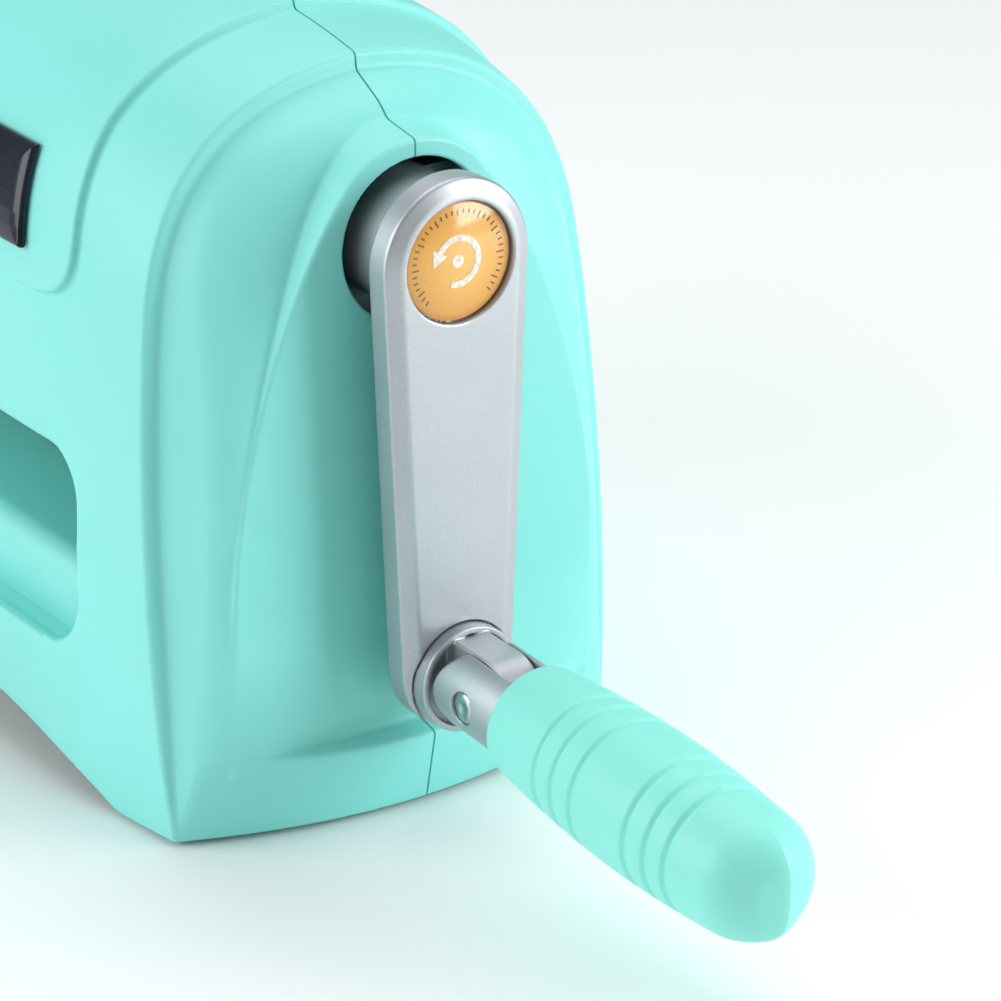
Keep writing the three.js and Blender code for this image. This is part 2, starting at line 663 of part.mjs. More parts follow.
// The socket's ring sits in the arm, and its tongue carries the hinge pin.
function handleSocket() {
  const ringFace = ARM_FACE_X + RING_PROUD;
  const ring = solid(turnX([
    [ARM_FACE_X - 1.9, 0], [ARM_FACE_X - 1.9, RING_R], [ringFace - 1, RING_R],
    [ringFace, RING_R - 1.2], [ringFace, 0],
  ], 24));
  const end = new THREE.EllipseCurve(PIN_X, 0, TONGUE_RISE, TONGUE_RISE, Math.PI / 2, 0.2, true);
  const half = [[ringFace - 1, TONGUE_RISE], ...end.getPoints(5).map((p) => [p.x, p.y])];
  const upper = half.map(([x, z]) => [x, PIN_RISE + z]);
  const lower = half.map(([x, z]) => [x, PIN_RISE - z]);
  const tongue = polygon([...upper, ...lower.reverse()].reverse());
  const blade = solid(pullY(tongue, -TONGUE_W / 2, TONGUE_W / 2));
  return cut(union(ring, blade),
    solid(rodY(PIN_R + 0.15, -10, 10, PIN_X, PIN_RISE, 12)),
    solid(rodX(2, ARM_FACE_X - 4, ARM_FACE_X + 5, 0, 0, 8)));
}

function socketScrew() {
  const head = ARM_BACK_X + 0.4;
  return solid(turnX([
    [head, 0], [head, 4], [head + 0.8, 4.8], [head + 3.4, 4.8], [head + 3.4, 1.8],
    [ARM_FACE_X + 4, 1.8], [ARM_FACE_X + 4, 0],
  ], 8));
}

// ---- handle, about the hinge pin, with +X along the handle ---------------------------
function hingePin() {
  const half = YOKE_R + 0.6;
  const side = new THREE.CylinderGeometry(PIN_R, PIN_R, 2 * half - 2, 12);
  const head = new THREE.CylinderGeometry(3.6, 3.6, 1.2, 12);
  const tail = head.clone();
  return union(solid(side), solid(head.translate(0, half - 0.9, 0)),
    solid(tail.translate(0, 0.9 - half, 0)));
}

function handleYoke() {
  const barrel = solid(turnX([
    [-EAR_R, 0], [-EAR_R, YOKE_R], [YOKE_END, YOKE_R],
    [YOKE_END, NECK_R], [NECK_END, NECK_R], [NECK_END, 0],
  ], 24));
  const profile = new THREE.Shape();
  profile.moveTo(0, YOKE_R + 1);
  profile.lineTo(0, EAR_R);
  profile.absarc(0, 0, EAR_R, Math.PI / 2, Math.PI * 1.5, false);
  profile.lineTo(0, -YOKE_R - 1);
  profile.lineTo(NECK_END + 1, -YOKE_R - 1);
  profile.lineTo(NECK_END + 1, YOKE_R + 1);
  const ears = barrel.intersect(solid(pullY(profile, -15, 15, 8)));
  const slot = TONGUE_W / 2 + 0.4;
  const yoke = cut(ears,
    solid(box(-20, SLOT_END, -slot, slot, -20, 20)),
    solid(rodY(PIN_R + 0.15, -20, 20, 0, 0, 12)),
    solid(rodY(3.8, YOKE_R - 1.6, 20, 0, 0, 12)),
    solid(rodY(3.8, -20, 1.6 - YOKE_R, 0, 0, 12)));
  return cut(yoke, solid(rodX(SPINDLE_R - 0.7, SLOT_END + 0.6, NECK_END + 5, 0, 0, 12)));
}

function handleSpindle() {
  return solid(turnX([
    [SLOT_END + 1, 0], [SLOT_END + 1, SPINDLE_R - 1], [NECK_END + GAP, SPINDLE_R - 1],
    [NECK_END + GAP, SPINDLE_R], [84, SPINDLE_R], [84, 5.4], [87, 5.4], [89, 3.5], [89, 0],
  ], 12));
}

// Radius of the grip at a distance from its inner end.
const gripCurve = new THREE.SplineCurve([
  [0, 13.4], [14, 14.9], [32, 16.1], [48, 16.4], [64, 15.8], [80, 14.2], [90, 11.5], [97, 5],
].map(([x, r]) => new THREE.Vector2(x, r)));

function grip() {
  const profile = [[GRIP_START, 0]];
  gripCurve.getPoints(12).forEach((p) => profile.push([GRIP_START + p.x, p.y]));
  profile.push([GRIP_START + GRIP_LENGTH, 0]);
  const body = solid(turnX(profile, 24));
  const bore = SPINDLE_R + 0.5;
  const neck = NECK_R + 0.6;
  return cut(body, solid(turnX([
    [GRIP_START - 5, 0], [GRIP_START - 5, neck], [NECK_END + 0.6, neck],
    [NECK_END + 0.6, bore], [82, bore], [82, 6], [91, 6], [91, 0],
  ], 12)));
}

// ---- assembly -----------------------------------------------------------------------
const machine = new THREE.Group();

function add(parent, name, shape, look, x = 0, y = 0, z = 0) {
  const piece = mesh(name, shape, look);
  piece.position.set(x, y, z);
  parent.add(piece);
  return piece;
}

add(machine, "front_shell", frontShell, mint);
add(machine, "rear_shell", rearShell, mint);
add(machine, "badge", badge(), badgeBlack);
add(machine, "base_plate", basePlate(), zinc);
add(machine, "front_feed_table", feedTable(-1), mint);
add(machine, "rear_feed_table", feedTable(1), mint);
machine.add(sidePlate(1, "right_side_plate"));
machine.add(sidePlate(-1, "left_side_plate"));
add(machine, "bearing_plate", bearingPlate(), steel);

for (const [name, [y, z]] of Object.entries(TIE_RODS)) {
  add(machine, `tie_rod_${name}`, stay(-PLATE_X, PLATE_X, PLATE_T, PLATE_T), zinc, 0, y, z);
}
for (const [name, [y, z]] of Object.entries(POSTS)) {
  const post = stay(PLATE_X + PLATE_T, BEARING_X, PLATE_T, BEARING_T);
  add(machine, `bearing_post_${name}`, post, zinc, 0, y, z);
}
const corners = { front_left: [-1, -1], front_right: [1, -1], rear_left: [-1, 1], rear_right: [1, 1] };
for (const [name, [x, y]] of Object.entries(corners)) {
  add(machine, `foot_${name}`, foot(), rubber, x * FOOT_AT.x, y * FOOT_AT.y);
  add(machine, `frame_screw_${name}`, screwUp(BASE_MID_Z - 2.1, 5, 1.7), zinc,
    x * PLATE_SCREWS.x, y * PLATE_SCREWS.y);
  add(machine, `shell_screw_${name}`, screwUp(BASE_LOW_Z - 2.1, 16, 1.6), zinc,
    x * BOSS_AT.x, y * BOSS_AT.y);
}
const bushX = PLATE_X - 1.4;
const bushEnd = PLATE_X + PLATE_T + 0.5;
for (const [name, z] of [["upper", UPPER_Z], ["lower", LOWER_Z]]) {
  for (const [place, turn] of [["right", 0], ["left", Math.PI]]) {
    const ring = bush(JOURNAL_R + GAP, BUSH_R, bushX, bushEnd, BUSH_R + 2);
    add(machine, `${name}_bush_${place}`, ring, bronze, 0, 0, z).rotation.z = turn;
  }
  add(machine, `${name}_roller`, roller(PLATE_X - 1.8), steel, 0, 0, z);
  const ring = washer(JOURNAL_R + 0.4, JOURNAL_R + 3, -PLATE_X - PLATE_T - 3, -PLATE_X - PLATE_T - 1.6);
  add(machine, `${name}_roller_clip`, ring, zinc, 0, 0, z);
  const nut = washer(END_R + 0.4, END_R + 3.5, GEAR_X + GEAR_W + GAP, GEAR_X + GEAR_W + 3);
  add(machine, `${name}_gear_clip`, nut, zinc, 0, 0, z);
}
add(machine, "crank_bush_inner", bush(SHAFT_R + GAP, BUSH_R, bushX, bushEnd, BUSH_R + 2), bronze,
  0, 0, HUB_Z);
add(machine, "crank_bush_outer",
  bush(SHAFT_R + GAP, SHAFT_R + 3, BEARING_X - 1.4, BEARING_X + BEARING_T + 0.4, SHAFT_R + 4.5),
  bronze, 0, 0, HUB_Z);

// A tooth of the upper gear faces sideways, so a gap meets the pinion's tooth above it.
const halfTooth = Math.PI / GEAR_TEETH;
const upperGear = add(machine, "upper_gear", gear(GEAR_TEETH, END_R + 0.4), steel, 0, 0, UPPER_Z);
upperGear.rotation.x = Math.PI / 2 + halfTooth;
const lowerGear = add(machine, "lower_gear", gear(GEAR_TEETH, END_R + 0.4), steel, 0, 0, LOWER_Z);
lowerGear.rotation.x = Math.PI / 2;

const crank = new THREE.Group();
crank.position.z = HUB_Z;
machine.add(crank);
add(crank, "crank_shaft", crankShaft(), steel);
const pinion = add(crank, "drive_pinion", gear(PINION_TEETH, SHAFT_R + 0.5), steel);
pinion.rotation.x = -Math.PI / 2;
add(crank, "crank_arm", crankArm(), silver);
add(crank, "arm_screw", armScrew(), zinc);
add(crank, "medallion_print", medallionPrint(), orange);
add(crank, "medallion_dome", medallionDome(), clear);
add(crank, "handle_socket", handleSocket(), silver, 0, 0, -THROW);
add(crank, "socket_screw", socketScrew(), zinc, 0, 0, -THROW);

const handle = new THREE.Group();
handle.position.set(PIN_X, 0, PIN_RISE - THROW);
handle.rotation.y = DROOP;
crank.add(handle);
add(handle, "hinge_pin", hingePin(), zinc);
add(handle, "handle_yoke", handleYoke(), silver);
add(handle, "handle_spindle", handleSpindle(), steel);
add(handle, "grip", grip(), gripMint);

// The origin is on the floor, at the middle of the whole machine.
machine.updateMatrixWorld(true);
const extent = new THREE.Box3().setFromObject(machine, true);
machine.position.x = -(extent.min.x + extent.max.x) / 2;
machine.position.y = -(extent.min.y + extent.max.y) / 2;

export default machine;
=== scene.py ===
"""Looks of the hand-crank die cutting machine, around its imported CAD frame.

The moulded and cast pieces are distance fields, meshed where the field is zero, so that
every edge has its fillet.  Turned pieces are lathed.  Sizes are in millimetres in the
machine's own frame: X from the middle of the casing, Y from its seam, Z from the floor.
"""
import json
import math

import bmesh
import bpy
import numpy as np
from mathutils import Matrix, Vector

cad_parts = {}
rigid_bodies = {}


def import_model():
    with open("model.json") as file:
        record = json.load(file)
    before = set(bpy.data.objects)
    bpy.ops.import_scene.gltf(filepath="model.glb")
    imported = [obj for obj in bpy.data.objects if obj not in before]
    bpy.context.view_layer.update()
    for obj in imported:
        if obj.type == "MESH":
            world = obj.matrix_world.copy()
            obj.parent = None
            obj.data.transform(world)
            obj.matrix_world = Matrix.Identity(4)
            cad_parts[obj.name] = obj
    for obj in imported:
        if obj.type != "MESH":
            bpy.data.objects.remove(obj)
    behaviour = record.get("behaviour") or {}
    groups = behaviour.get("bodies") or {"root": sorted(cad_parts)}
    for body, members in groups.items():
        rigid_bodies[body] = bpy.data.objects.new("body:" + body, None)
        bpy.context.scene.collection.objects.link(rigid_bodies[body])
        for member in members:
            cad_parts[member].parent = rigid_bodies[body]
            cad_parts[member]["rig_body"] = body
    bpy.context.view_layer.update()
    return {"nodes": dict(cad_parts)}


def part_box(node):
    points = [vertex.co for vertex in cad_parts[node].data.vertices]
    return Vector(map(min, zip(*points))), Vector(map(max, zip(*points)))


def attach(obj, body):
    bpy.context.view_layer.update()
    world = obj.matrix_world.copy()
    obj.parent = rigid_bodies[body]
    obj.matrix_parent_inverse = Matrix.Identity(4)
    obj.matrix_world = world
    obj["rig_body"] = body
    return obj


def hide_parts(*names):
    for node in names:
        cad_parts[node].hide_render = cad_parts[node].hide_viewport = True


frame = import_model()

# ---- sizes -----------------------------------------------------------------------------
MM = 0.001
front_low, front_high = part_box("front_shell")
rear_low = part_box("rear_shell")[0]
CENTRE = Vector(((front_low[0] + front_high[0]) / 2, (front_high[1] + rear_low[1]) / 2, 0))
PLACE = Matrix.Translation(CENTRE) @ Matrix.Scale(MM, 4)

RIM_Z = 1.3
WALL = 3.0
HALF_DEPTH = 67.9
BODY_TOP = 181.0
HOOD_RISE = 2.0
HUB_Z = 139.0
THROW = 100.0
STEP_X = 101.0                   # where the end caps start, at the roof
STEP_LEAN = 0.0728               # how much wider that is, for each unit of height below it
PAD_X = 125.0                    # face of the raised panel on each end
LEDGE_Z = 21.0                   # top of the ledge along the foot of each end
HUB_HOLE_R = 19.2
ARM_FACE_X = 142.7
ARM_BACK_X = 134.1
MEDAL_R = 14.0
PIN_X = 158.0
PIN_Z = HUB_Z - THROW + 0.6
DROOP = math.radians(3)
YOKE_R = 11.4
YOKE_END = 12.0
GRIP_START = YOKE_END + 0.3
GRIP_LENGTH = 97.0
TABLE_Z = 57.0

# ---- camera ----------------------------------------------------------------------------
LENS_TO_WIDTH = 4.3956           # focal length for each unit of picture width
CAMERA_AT = Vector((884.6, -511.0, 479.4))
CAMERA_AZIMUTH = 54.9
CAMERA_DIP = 23.79


def add_camera():
    data = bpy.data.cameras.new("camera")
    data.sensor_width = 36
    data.lens = LENS_TO_WIDTH * data.sensor_width
    data.clip_end = 20
    camera = bpy.data.objects.new("camera", data)
    bpy.context.scene.collection.objects.link(camera)
    camera.location = PLACE @ CAMERA_AT
    camera.rotation_euler = (math.radians(90 - CAMERA_DIP), 0, math.radians(CAMERA_AZIMUTH))
    bpy.context.scene.camera = camera


add_camera()


# ---- distance fields -------------------------------------------------------------------
def round_max(a, b, radius):
    """Intersection of two fields, with a rounded edge."""
    corner = np.hypot(np.maximum(a + radius, 0), np.maximum(b + radius, 0))
    return np.minimum(np.maximum(a, b), -radius) + corner


def round_min(a, b, radius):
    """Union of two fields, with a fillet."""
    corner = np.hypot(np.maximum(radius - a, 0), np.maximum(radius - b, 0))
    return np.maximum(np.minimum(a, b), radius) - corner


def soft_max(a, b, reach):
    """Intersection of two fields that cross at a shallow angle, with a wide blend."""
    near = np.maximum(reach - np.abs(a - b), 0) / reach
    return np.maximum(a, b) + near ** 2 * reach / 4


def bezier(p0, p1, p2, p3, count):
    t = np.linspace(0, 1, count)[:, None]
    p0, p1, p2, p3 = (np.array(p, float) for p in (p0, p1, p2, p3))
    s = 1 - t
    return s ** 3 * p0 + 3 * s ** 2 * t * p1 + 3 * s * t ** 2 * p2 + t ** 3 * p3


def arc(centre, radius, start, end, count):
    turn = np.radians(np.linspace(start, end, count))
    return np.stack([centre[0] + radius * np.cos(turn), centre[1] + radius * np.sin(turn)], 1)


class Outline:
    """Signed distance to a closed outline, tabulated on a plane and read by interpolation."""

    def __init__(self, points, margin=30, step=0.5):
        points = np.asarray(points, float)
        self.low = points.min(0) - margin
        self.step = step
        count = np.ceil((points.max(0) + margin - self.low) / step).astype(int) + 1
        u = self.low[0] + step * np.arange(count[0])
        v = self.low[1] + step * np.arange(count[1])
        u, v = np.meshgrid(u, v, indexing="ij")
        nearest = np.full(u.shape, 1e9)
        inside = np.zeros(u.shape, bool)
        for a, b in zip(points, np.roll(points, -1, 0)):
            along = b - a
            length = max(along @ along, 1e-12)
            t = np.clip(((u - a[0]) * along[0] + (v - a[1]) * along[1]) / length, 0, 1)
            away = (u - a[0] - t * along[0]) ** 2 + (v - a[1] - t * along[1]) ** 2
            nearest = np.minimum(nearest, away)
            if a[1] != b[1]:
                crosses = (a[1] > v) != (b[1] > v)
                inside ^= crosses & (u < a[0] + (v - a[1]) * along[0] / along[1])
        self.table = np.where(inside, -1, 1) * np.sqrt(nearest)

    def __call__(self, u, v):
        gu = np.clip((u - self.low[0]) / self.step, 0, self.table.shape[0] - 1.001)
        gv = np.clip((v - self.low[1]) / self.step, 0, self.table.shape[1] - 1.001)
        iu, iv = gu.astype(int), gv.astype(int)
        fu, fv = gu - iu, gv - iv
        table = self.table
        near = table[iu, iv] * (1 - fv) + table[iu, iv + 1] * fv
        far = table[iu + 1, iv] * (1 - fv) + table[iu + 1, iv + 1] * fv
        return near * (1 - fu) + far * fu


CORNERS = [(i, j, k) for i in (0, 1) for j in (0, 1) for k in (0, 1)]
EDGES = [(a, b) for a in range(8) for b in range(a + 1, 8)
         if sum(x != y for x, y in zip(CORNERS[a], CORNERS[b])) == 1]


def gradient(field, points, reach=0.05):
    slopes = []
    for axis in range(3):
        shift = np.zeros(3)
        shift[axis] = reach
        ahead, behind = (points + shift).T, (points - shift).T
        slopes.append((field(*ahead) - field(*behind)) / (2 * reach))
    return np.stack(slopes, 1)


def surface(field, low, high, step):
    """Vertices and quads of the field's zero surface (naive surface nets)."""
    low = np.array(low, float)
    counts = np.ceil((np.array(high) - low) / step).astype(int) + 1
    axes = [low[i] + step * np.arange(counts[i]) for i in range(3)]
    values = np.empty(counts)
    for start in range(0, counts[0], 16):
        slab = axes[0][start:start + 16]
        values[start:start + 16] = field(*np.meshgrid(slab, axes[1], axes[2], indexing="ij"))
    inside = values < 0
    nx, ny, nz = counts - 1
    total = sum(inside[i:nx + i, j:ny + j, k:nz + k].astype(int) for i, j, k in CORNERS)
    cells = np.argwhere((total > 0) & (total < 8))
    number = np.full((nx, ny, nz), -1)
    number[tuple(cells.T)] = np.arange(len(cells))
    at_corner = np.stack([values[tuple((cells + corner).T)] for corner in CORNERS], 1)
    places, hits = np.zeros((len(cells), 3)), np.zeros((len(cells), 1))
    for a, b in EDGES:
        va, vb = at_corner[:, a:a + 1], at_corner[:, b:b + 1]
        crossing = (va < 0) != (vb < 0)
        t = np.where(crossing, va / np.where(crossing, va - vb, 1), 0)
        start, end = np.array(CORNERS[a]), np.array(CORNERS[b])
        places += crossing * (start + t * (end - start))
        hits += crossing
    points = low + step * (cells + places / hits)
    quads = []
    for axis in range(3):
        one, two = (axis + 1) % 3, (axis + 2) % 3
        here = np.take(inside, np.arange(counts[axis] - 1), axis)
        there = np.take(inside, np.arange(1, counts[axis]), axis)
        starts = np.argwhere(here != there)
        keep = (starts[:, one] > 0) & (starts[:, two] > 0)
        keep &= (starts[:, one] < counts[one] - 1) & (starts[:, two] < counts[two] - 1)
        starts = starts[keep]
        around = []
        for back_one, back_two in ((1, 1), (0, 1), (0, 0), (1, 0)):
            cell = starts.copy()
            cell[:, one] -= back_one
            cell[:, two] -= back_two
            around.append(number[tuple(cell.T)])
        faces = np.stack(around, 1)
        outward = here[tuple(starts.T)]
        quads.append(np.where(outward[:, None], faces, faces[:, ::-1]))
    for _ in range(3):
        slope = gradient(field, points)
        size = np.maximum((slope ** 2).sum(1, keepdims=True), 0.05)
        move = -field(*points.T)[:, None] * slope / size
        points = points + np.clip(move, -step / 2, step / 2)
    return points, np.concatenate(quads)


# ---- objects ---------------------------------------------------------------------------
def new_object(name, vertices, faces, place=PLACE):
    """A mesh object from vertices in millimetres, carried into the row frame by place."""
    mesh = bpy.data.meshes.new(name)
    mesh.from_pydata([tuple(v) for v in vertices], [], [tuple(f) for f in faces])
    mesh.transform(place)
    mesh.update()
    thing = bpy.data.objects.new(name, mesh)
    bpy.context.scene.collection.objects.link(thing)
    return thing


def shade_by_field(mesh, slope):
    """Shade each corner by the field's slope, or flat where the face was cut."""
    mesh.shade_smooth()
    corners = []
    for face in mesh.polygons:
        flat = np.array(face.normal[:])
        for vertex in face.vertices:
            corners.append(slope[vertex] if slope[vertex] @ flat > 0.5 else flat)
    mesh.normals_split_custom_set([tuple(n) for n in corners])


def apply_modifiers(thing):
    ready = thing.evaluated_get(bpy.context.evaluated_depsgraph_get())
    mesh = bpy.data.meshes.new_from_object(ready)
    thing.modifiers.clear()
    thing.data = mesh


def break_edges(thing, width, segments, angle):
    """Bevel the edges that turn by more than the angle; width is in millimetres."""
    edge = thing.modifiers.new("edge", "BEVEL")
    edge.width = width * MM
    edge.segments = segments
    edge.limit_method = "ANGLE"
    edge.angle_limit = math.radians(angle)
    apply_modifiers(thing)


def smooth(thing, angle):
    """Shade smooth, apart from edges that turn by more than the angle."""
    thing.data.shade_smooth()
    thing.data.set_sharp_from_angle(angle=math.radians(angle))


def cut_at_seam(mesh, y):
    """Keep what is in front of a plane, and close the wall there."""
    shape = bmesh.new()
    shape.from_mesh(mesh)
    everything = shape.verts[:] + shape.edges[:] + shape.faces[:]
    bmesh.ops.bisect_plane(shape, geom=everything, plane_co=(0, y, 0), plane_no=(0, 1, 0),
                           clear_outer=True, dist=1e-5)
    rim = [edge for edge in shape.edges if edge.is_boundary]
    bmesh.ops.triangle_fill(shape, edges=rim, use_beauty=True, normal=(0, 1, 0))
    bmesh.ops.recalc_face_normals(shape, faces=shape.faces)
    shape.to_mesh(mesh)
    shape.free()


def moulded(name, field, low, high, step, keep=1.0, place=PLACE, seam=None):
    """A piece from its field, thinned to a share of its faces, shaded by the field's slope."""
    points, quads = surface(field, low, high, step)
    thing = new_object(name, points, quads, Matrix())
    if keep < 1:
        thin = thing.modifiers.new("thin", "DECIMATE")
        thin.ratio = keep
        apply_modifiers(thing)
    if seam is not None:
        cut_at_seam(thing.data, seam)
    shade(thing.data, field, place)
    return thing


def shade(mesh, field, place):
    """Carry a mesh from millimetres into place, shaded by its field's slope."""
    points = np.array([v.co[:] for v in mesh.vertices])
    slope = gradient(field, points)
    mesh.transform(place)
    slope = slope / np.linalg.norm(slope, axis=1, keepdims=True)
    shade_by_field(mesh, slope @ np.array(place.to_3x3().normalized()).T)


def mirrored(name, thing, across_y):
    """A mirror image of a piece across the seam plane."""
    mesh = thing.data.copy()
    corners = np.array([n.vector[:] for n in mesh.corner_normals]) * (1, -1, 1)
    starts = [face.loop_start for face in mesh.polygons]
    counts = [face.loop_total for face in mesh.polygons]
    mesh.transform(Matrix.Translation((0, 2 * across_y, 0)) @ Matrix.Scale(-1, 4, (0, 1, 0)))
    mesh.flip_normals()
    for start, count in zip(starts, counts):
        # Flipping a face keeps its first corner and reverses the others.
        corners[start + 1:start + count] = corners[start + 1:start + count][::-1]
    mesh.normals_split_custom_set([tuple(n) for n in corners])
    twin = bpy.data.objects.new(name, mesh)
    bpy.context.scene.collection.objects.link(twin)
    return twin


def turned(name, profile, place, segments):
    """A lathed piece: profile is (along, radius) from axis to axis, about +X of place."""
    vertices, faces, rings = [], [], []
    for along, radius in profile:
        if radius < 1e-6:
            rings.append([len(vertices)])
            vertices.append((along, 0, 0))
            continue
        rings.append(list(range(len(vertices), len(vertices) + segments)))
        for step in range(segments):
            turn = 2 * math.pi * step / segments
            vertices.append((along, radius * math.cos(turn), radius * math.sin(turn)))
    for ring, after in zip(rings, rings[1:]):
        for step in range(segments):
            quad = [ring[step % len(ring)], ring[(step + 1) % len(ring)],
                    after[(step + 1) % len(after)], after[step % len(after)]]
            faces.append(list(dict.fromkeys(quad)))
    thing = new_object(name, vertices, faces, place)
    smooth(thing, 40)
    return thing


def finish_piece(thing, body, slot, look, *replaces):
    thing.data.materials.clear()
    thing.data.materials.append(look)
    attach(thing, body)
    if replaces:
        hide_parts(*replaces)
    return thing


# ---- materials -------------------------------------------------------------------------
class Shader:
    """A node tree with short calls for the nodes that the finishes are made of."""

    def __init__(self, name, **settings):
        self.material = bpy.data.materials.new(name)
        self.material.use_nodes = True
        self.tree = self.material.node_tree
        self.main = self.tree.nodes["Principled BSDF"]
        self.at = self.node("TexCoord").outputs["Object"]
        for socket, value in settings.items():
            self.main.inputs[socket.replace("_", " ")].default_value = value

    def node(self, kind, **settings):
        node = self.tree.nodes.new("ShaderNode" + kind)
        for key, value in settings.items():
            setattr(node, key, value)
        return node

    def put(self, socket, value):
        if hasattr(value, "links"):
            self.tree.links.new(value, socket)
        else:
            socket.default_value = value

    def noise(self, scale, detail=3.0, rough=0.5, at=None):
        node = self.node("TexNoise")
        node.inputs["Scale"].default_value = scale
        node.inputs["Detail"].default_value = detail
        node.inputs["Roughness"].default_value = rough
        self.put(node.inputs["Vector"], at or self.at)
        return node.outputs["Fac"]

    def stretched(self, scale):
        node = self.node("VectorMath", operation="MULTIPLY")
        node.inputs[1].default_value = scale
        self.put(node.inputs[0], self.at)
        return node.outputs["Vector"]

    def math(self, operation, a, b=0.0):
        node = self.node("Math", operation=operation)
        self.put(node.inputs[0], a)
        self.put(node.inputs[1], b)
        return node.outputs[0]

    def spread(self, value, low, high, to_low, to_high):
        node = self.node("MapRange")
        for key, number in (("From Min", low), ("From Max", high),
                            ("To Min", to_low), ("To Max", to_high)):
            node.inputs[key].default_value = number
        self.put(node.inputs["Value"], value)
        return node.outputs["Result"]

    def band(self, y, half):
        """1 on the plane at y, falling to 0 at half on both sides."""
        apart = self.node("SeparateXYZ")
        self.put(apart.inputs[0], self.at)
        off = self.math("ABSOLUTE", self.math("SUBTRACT", apart.outputs["Y"], y))
        return self.spread(off, 0, half, 1, 0)

    def mix(self, factor, a, b):
        node = self.node("Mix", data_type="RGBA")
        self.put(node.inputs["Factor"], factor)
        self.put(node.inputs[6], a)
        self.put(node.inputs[7], b)
        return node.outputs[2]

    def edges(self, radius, low, high):
        """1 on convex edges and 0 on open faces, by how far a rounding would turn them."""
        bevel = self.node("Bevel", samples=4)
        bevel.inputs["Radius"].default_value = radius
        turned_by = self.node("VectorMath", operation="DOT_PRODUCT")
        self.put(turned_by.inputs[0], bevel.outputs["Normal"])
        self.put(turned_by.inputs[1], self.node("NewGeometry").outputs["Normal"])
        return self.spread(turned_by.outputs["Value"], high, low, 0, 1)

    def bump(self, height, distance, strength=1.0, after=None):
        node = self.node("Bump")
        node.inputs["Strength"].default_value = strength
        node.inputs["Distance"].default_value = distance
        self.put(node.inputs["Height"], height)
        if after:
            self.put(node.inputs["Normal"], after)
        return node.outputs["Normal"]

    def finish(self, **links):
        for socket, value in links.items():
            self.put(self.main.inputs[socket.replace("_", " ")], value)
        return self.material


def colour(red, green, blue):
    """A linear colour from the sRGB values that a screen shows."""
    def linear(c):
        return c / 12.92 if c <= 0.04045 else ((c + 0.055) / 1.055) ** 2.4
    return (linear(red / 255), linear(green / 255), linear(blue / 255), 1)


def moulded_plastic(name, light, dark, rough, grain=0.00003, parting=False):
    """Satin moulded plastic: fine spark-eroded grain, faint flow marks and finger bloom."""
    shader = Shader(name, IOR=1.47)
    cloud = shader.noise(14, 4)
    flow = shader.noise(5, 2, at=shader.stretched((0.4, 1.6, 1.0)))
    both = shader.math("MULTIPLY", cloud, flow)
    base = shader.mix(shader.spread(both, 0.12, 0.4, 0, 1), dark, light)
    speck = shader.spread(shader.noise(900, 1), 0.72, 0.8, 0, 0.25)
    base = shader.mix(speck, base, dark)
    gloss = shader.spread(shader.noise(30, 5, 0.6), 0.3, 0.7, rough - 0.05, rough + 0.06)
    fine = shader.bump(shader.noise(2600, 2, 0.6), grain)
    relief = shader.bump(shader.noise(28, 2), 0.0004, 0.5, fine)
    if parting:
        line = shader.band(CENTRE.y, 0.0003)
        base = shader.mix(shader.math("MULTIPLY", line, 0.3), base, dark)
        relief = shader.bump(line, 0.0001, 0.6, relief)
    return shader.finish(Base_Color=base, Roughness=gloss, Normal=relief)


def painted_metal(name):
    """Fine silver paint: tiny flakes, orange peel and brighter worn edges."""
    shader = Shader(name, Metallic=0.78, IOR=1.5, Coat_Weight=0.25, Coat_Roughness=0.22)
    flakes = shader.node("TexVoronoi")
    flakes.inputs["Scale"].default_value = 9000
    shader.put(flakes.inputs["Vector"], shader.at)
    glint = shader.spread(flakes.outputs["Color"], 0.0, 1.0, 0.0, 1.0)
    cloud = shader.spread(shader.noise(22, 4), 0.3, 0.7, 0, 0.35)
    base = shader.mix(glint, colour(172, 177, 182), colour(198, 204, 208))
    base = shader.mix(cloud, base, colour(164, 171, 177))
    worn = shader.math("MULTIPLY", shader.edges(0.0005, 0.72, 0.93),
                       shader.spread(shader.noise(260, 4, 0.7), 0.48, 0.62, 0, 1))
    base = shader.mix(worn, base, colour(232, 236, 238))
    gloss = shader.spread(shader.noise(60, 4), 0.3, 0.7, 0.4, 0.5)
    gloss = shader.math("SUBTRACT", gloss, shader.math("MULTIPLY", worn, 0.15))
    peel = shader.bump(shader.noise(420, 2), 0.00002, 1.0)
    grit = shader.bump(shader.noise(3800, 1), 0.00002, 0.6, peel)
    return shader.finish(Base_Color=base, Roughness=gloss, Normal=grit)


def steel(name, bright, dull, rough, direction, scratch=0.00002):
    """Machined or plated metal: tool lines along one direction, bright edges, oil haze."""
    shader = Shader(name, Metallic=1.0)
    lines = shader.noise(1, 3, 0.6, at=shader.stretched(direction))
    haze = shader.spread(shader.noise(34, 5, 0.6), 0.35, 0.7, 0, 0.6)
    base = shader.mix(shader.spread(lines, 0.3, 0.7, 0, 1), bright, dull)
    base = shader.mix(haze, base, dull)
    worn = shader.edges(0.0004, 0.75, 0.95)
    base = shader.mix(worn, base, colour(236, 238, 240))
    gloss = shader.spread(shader.noise(90, 4), 0.3, 0.7, rough, rough + 0.14)
    return shader.finish(Base_Color=base, Roughness=gloss, Normal=shader.bump(lines, scratch))


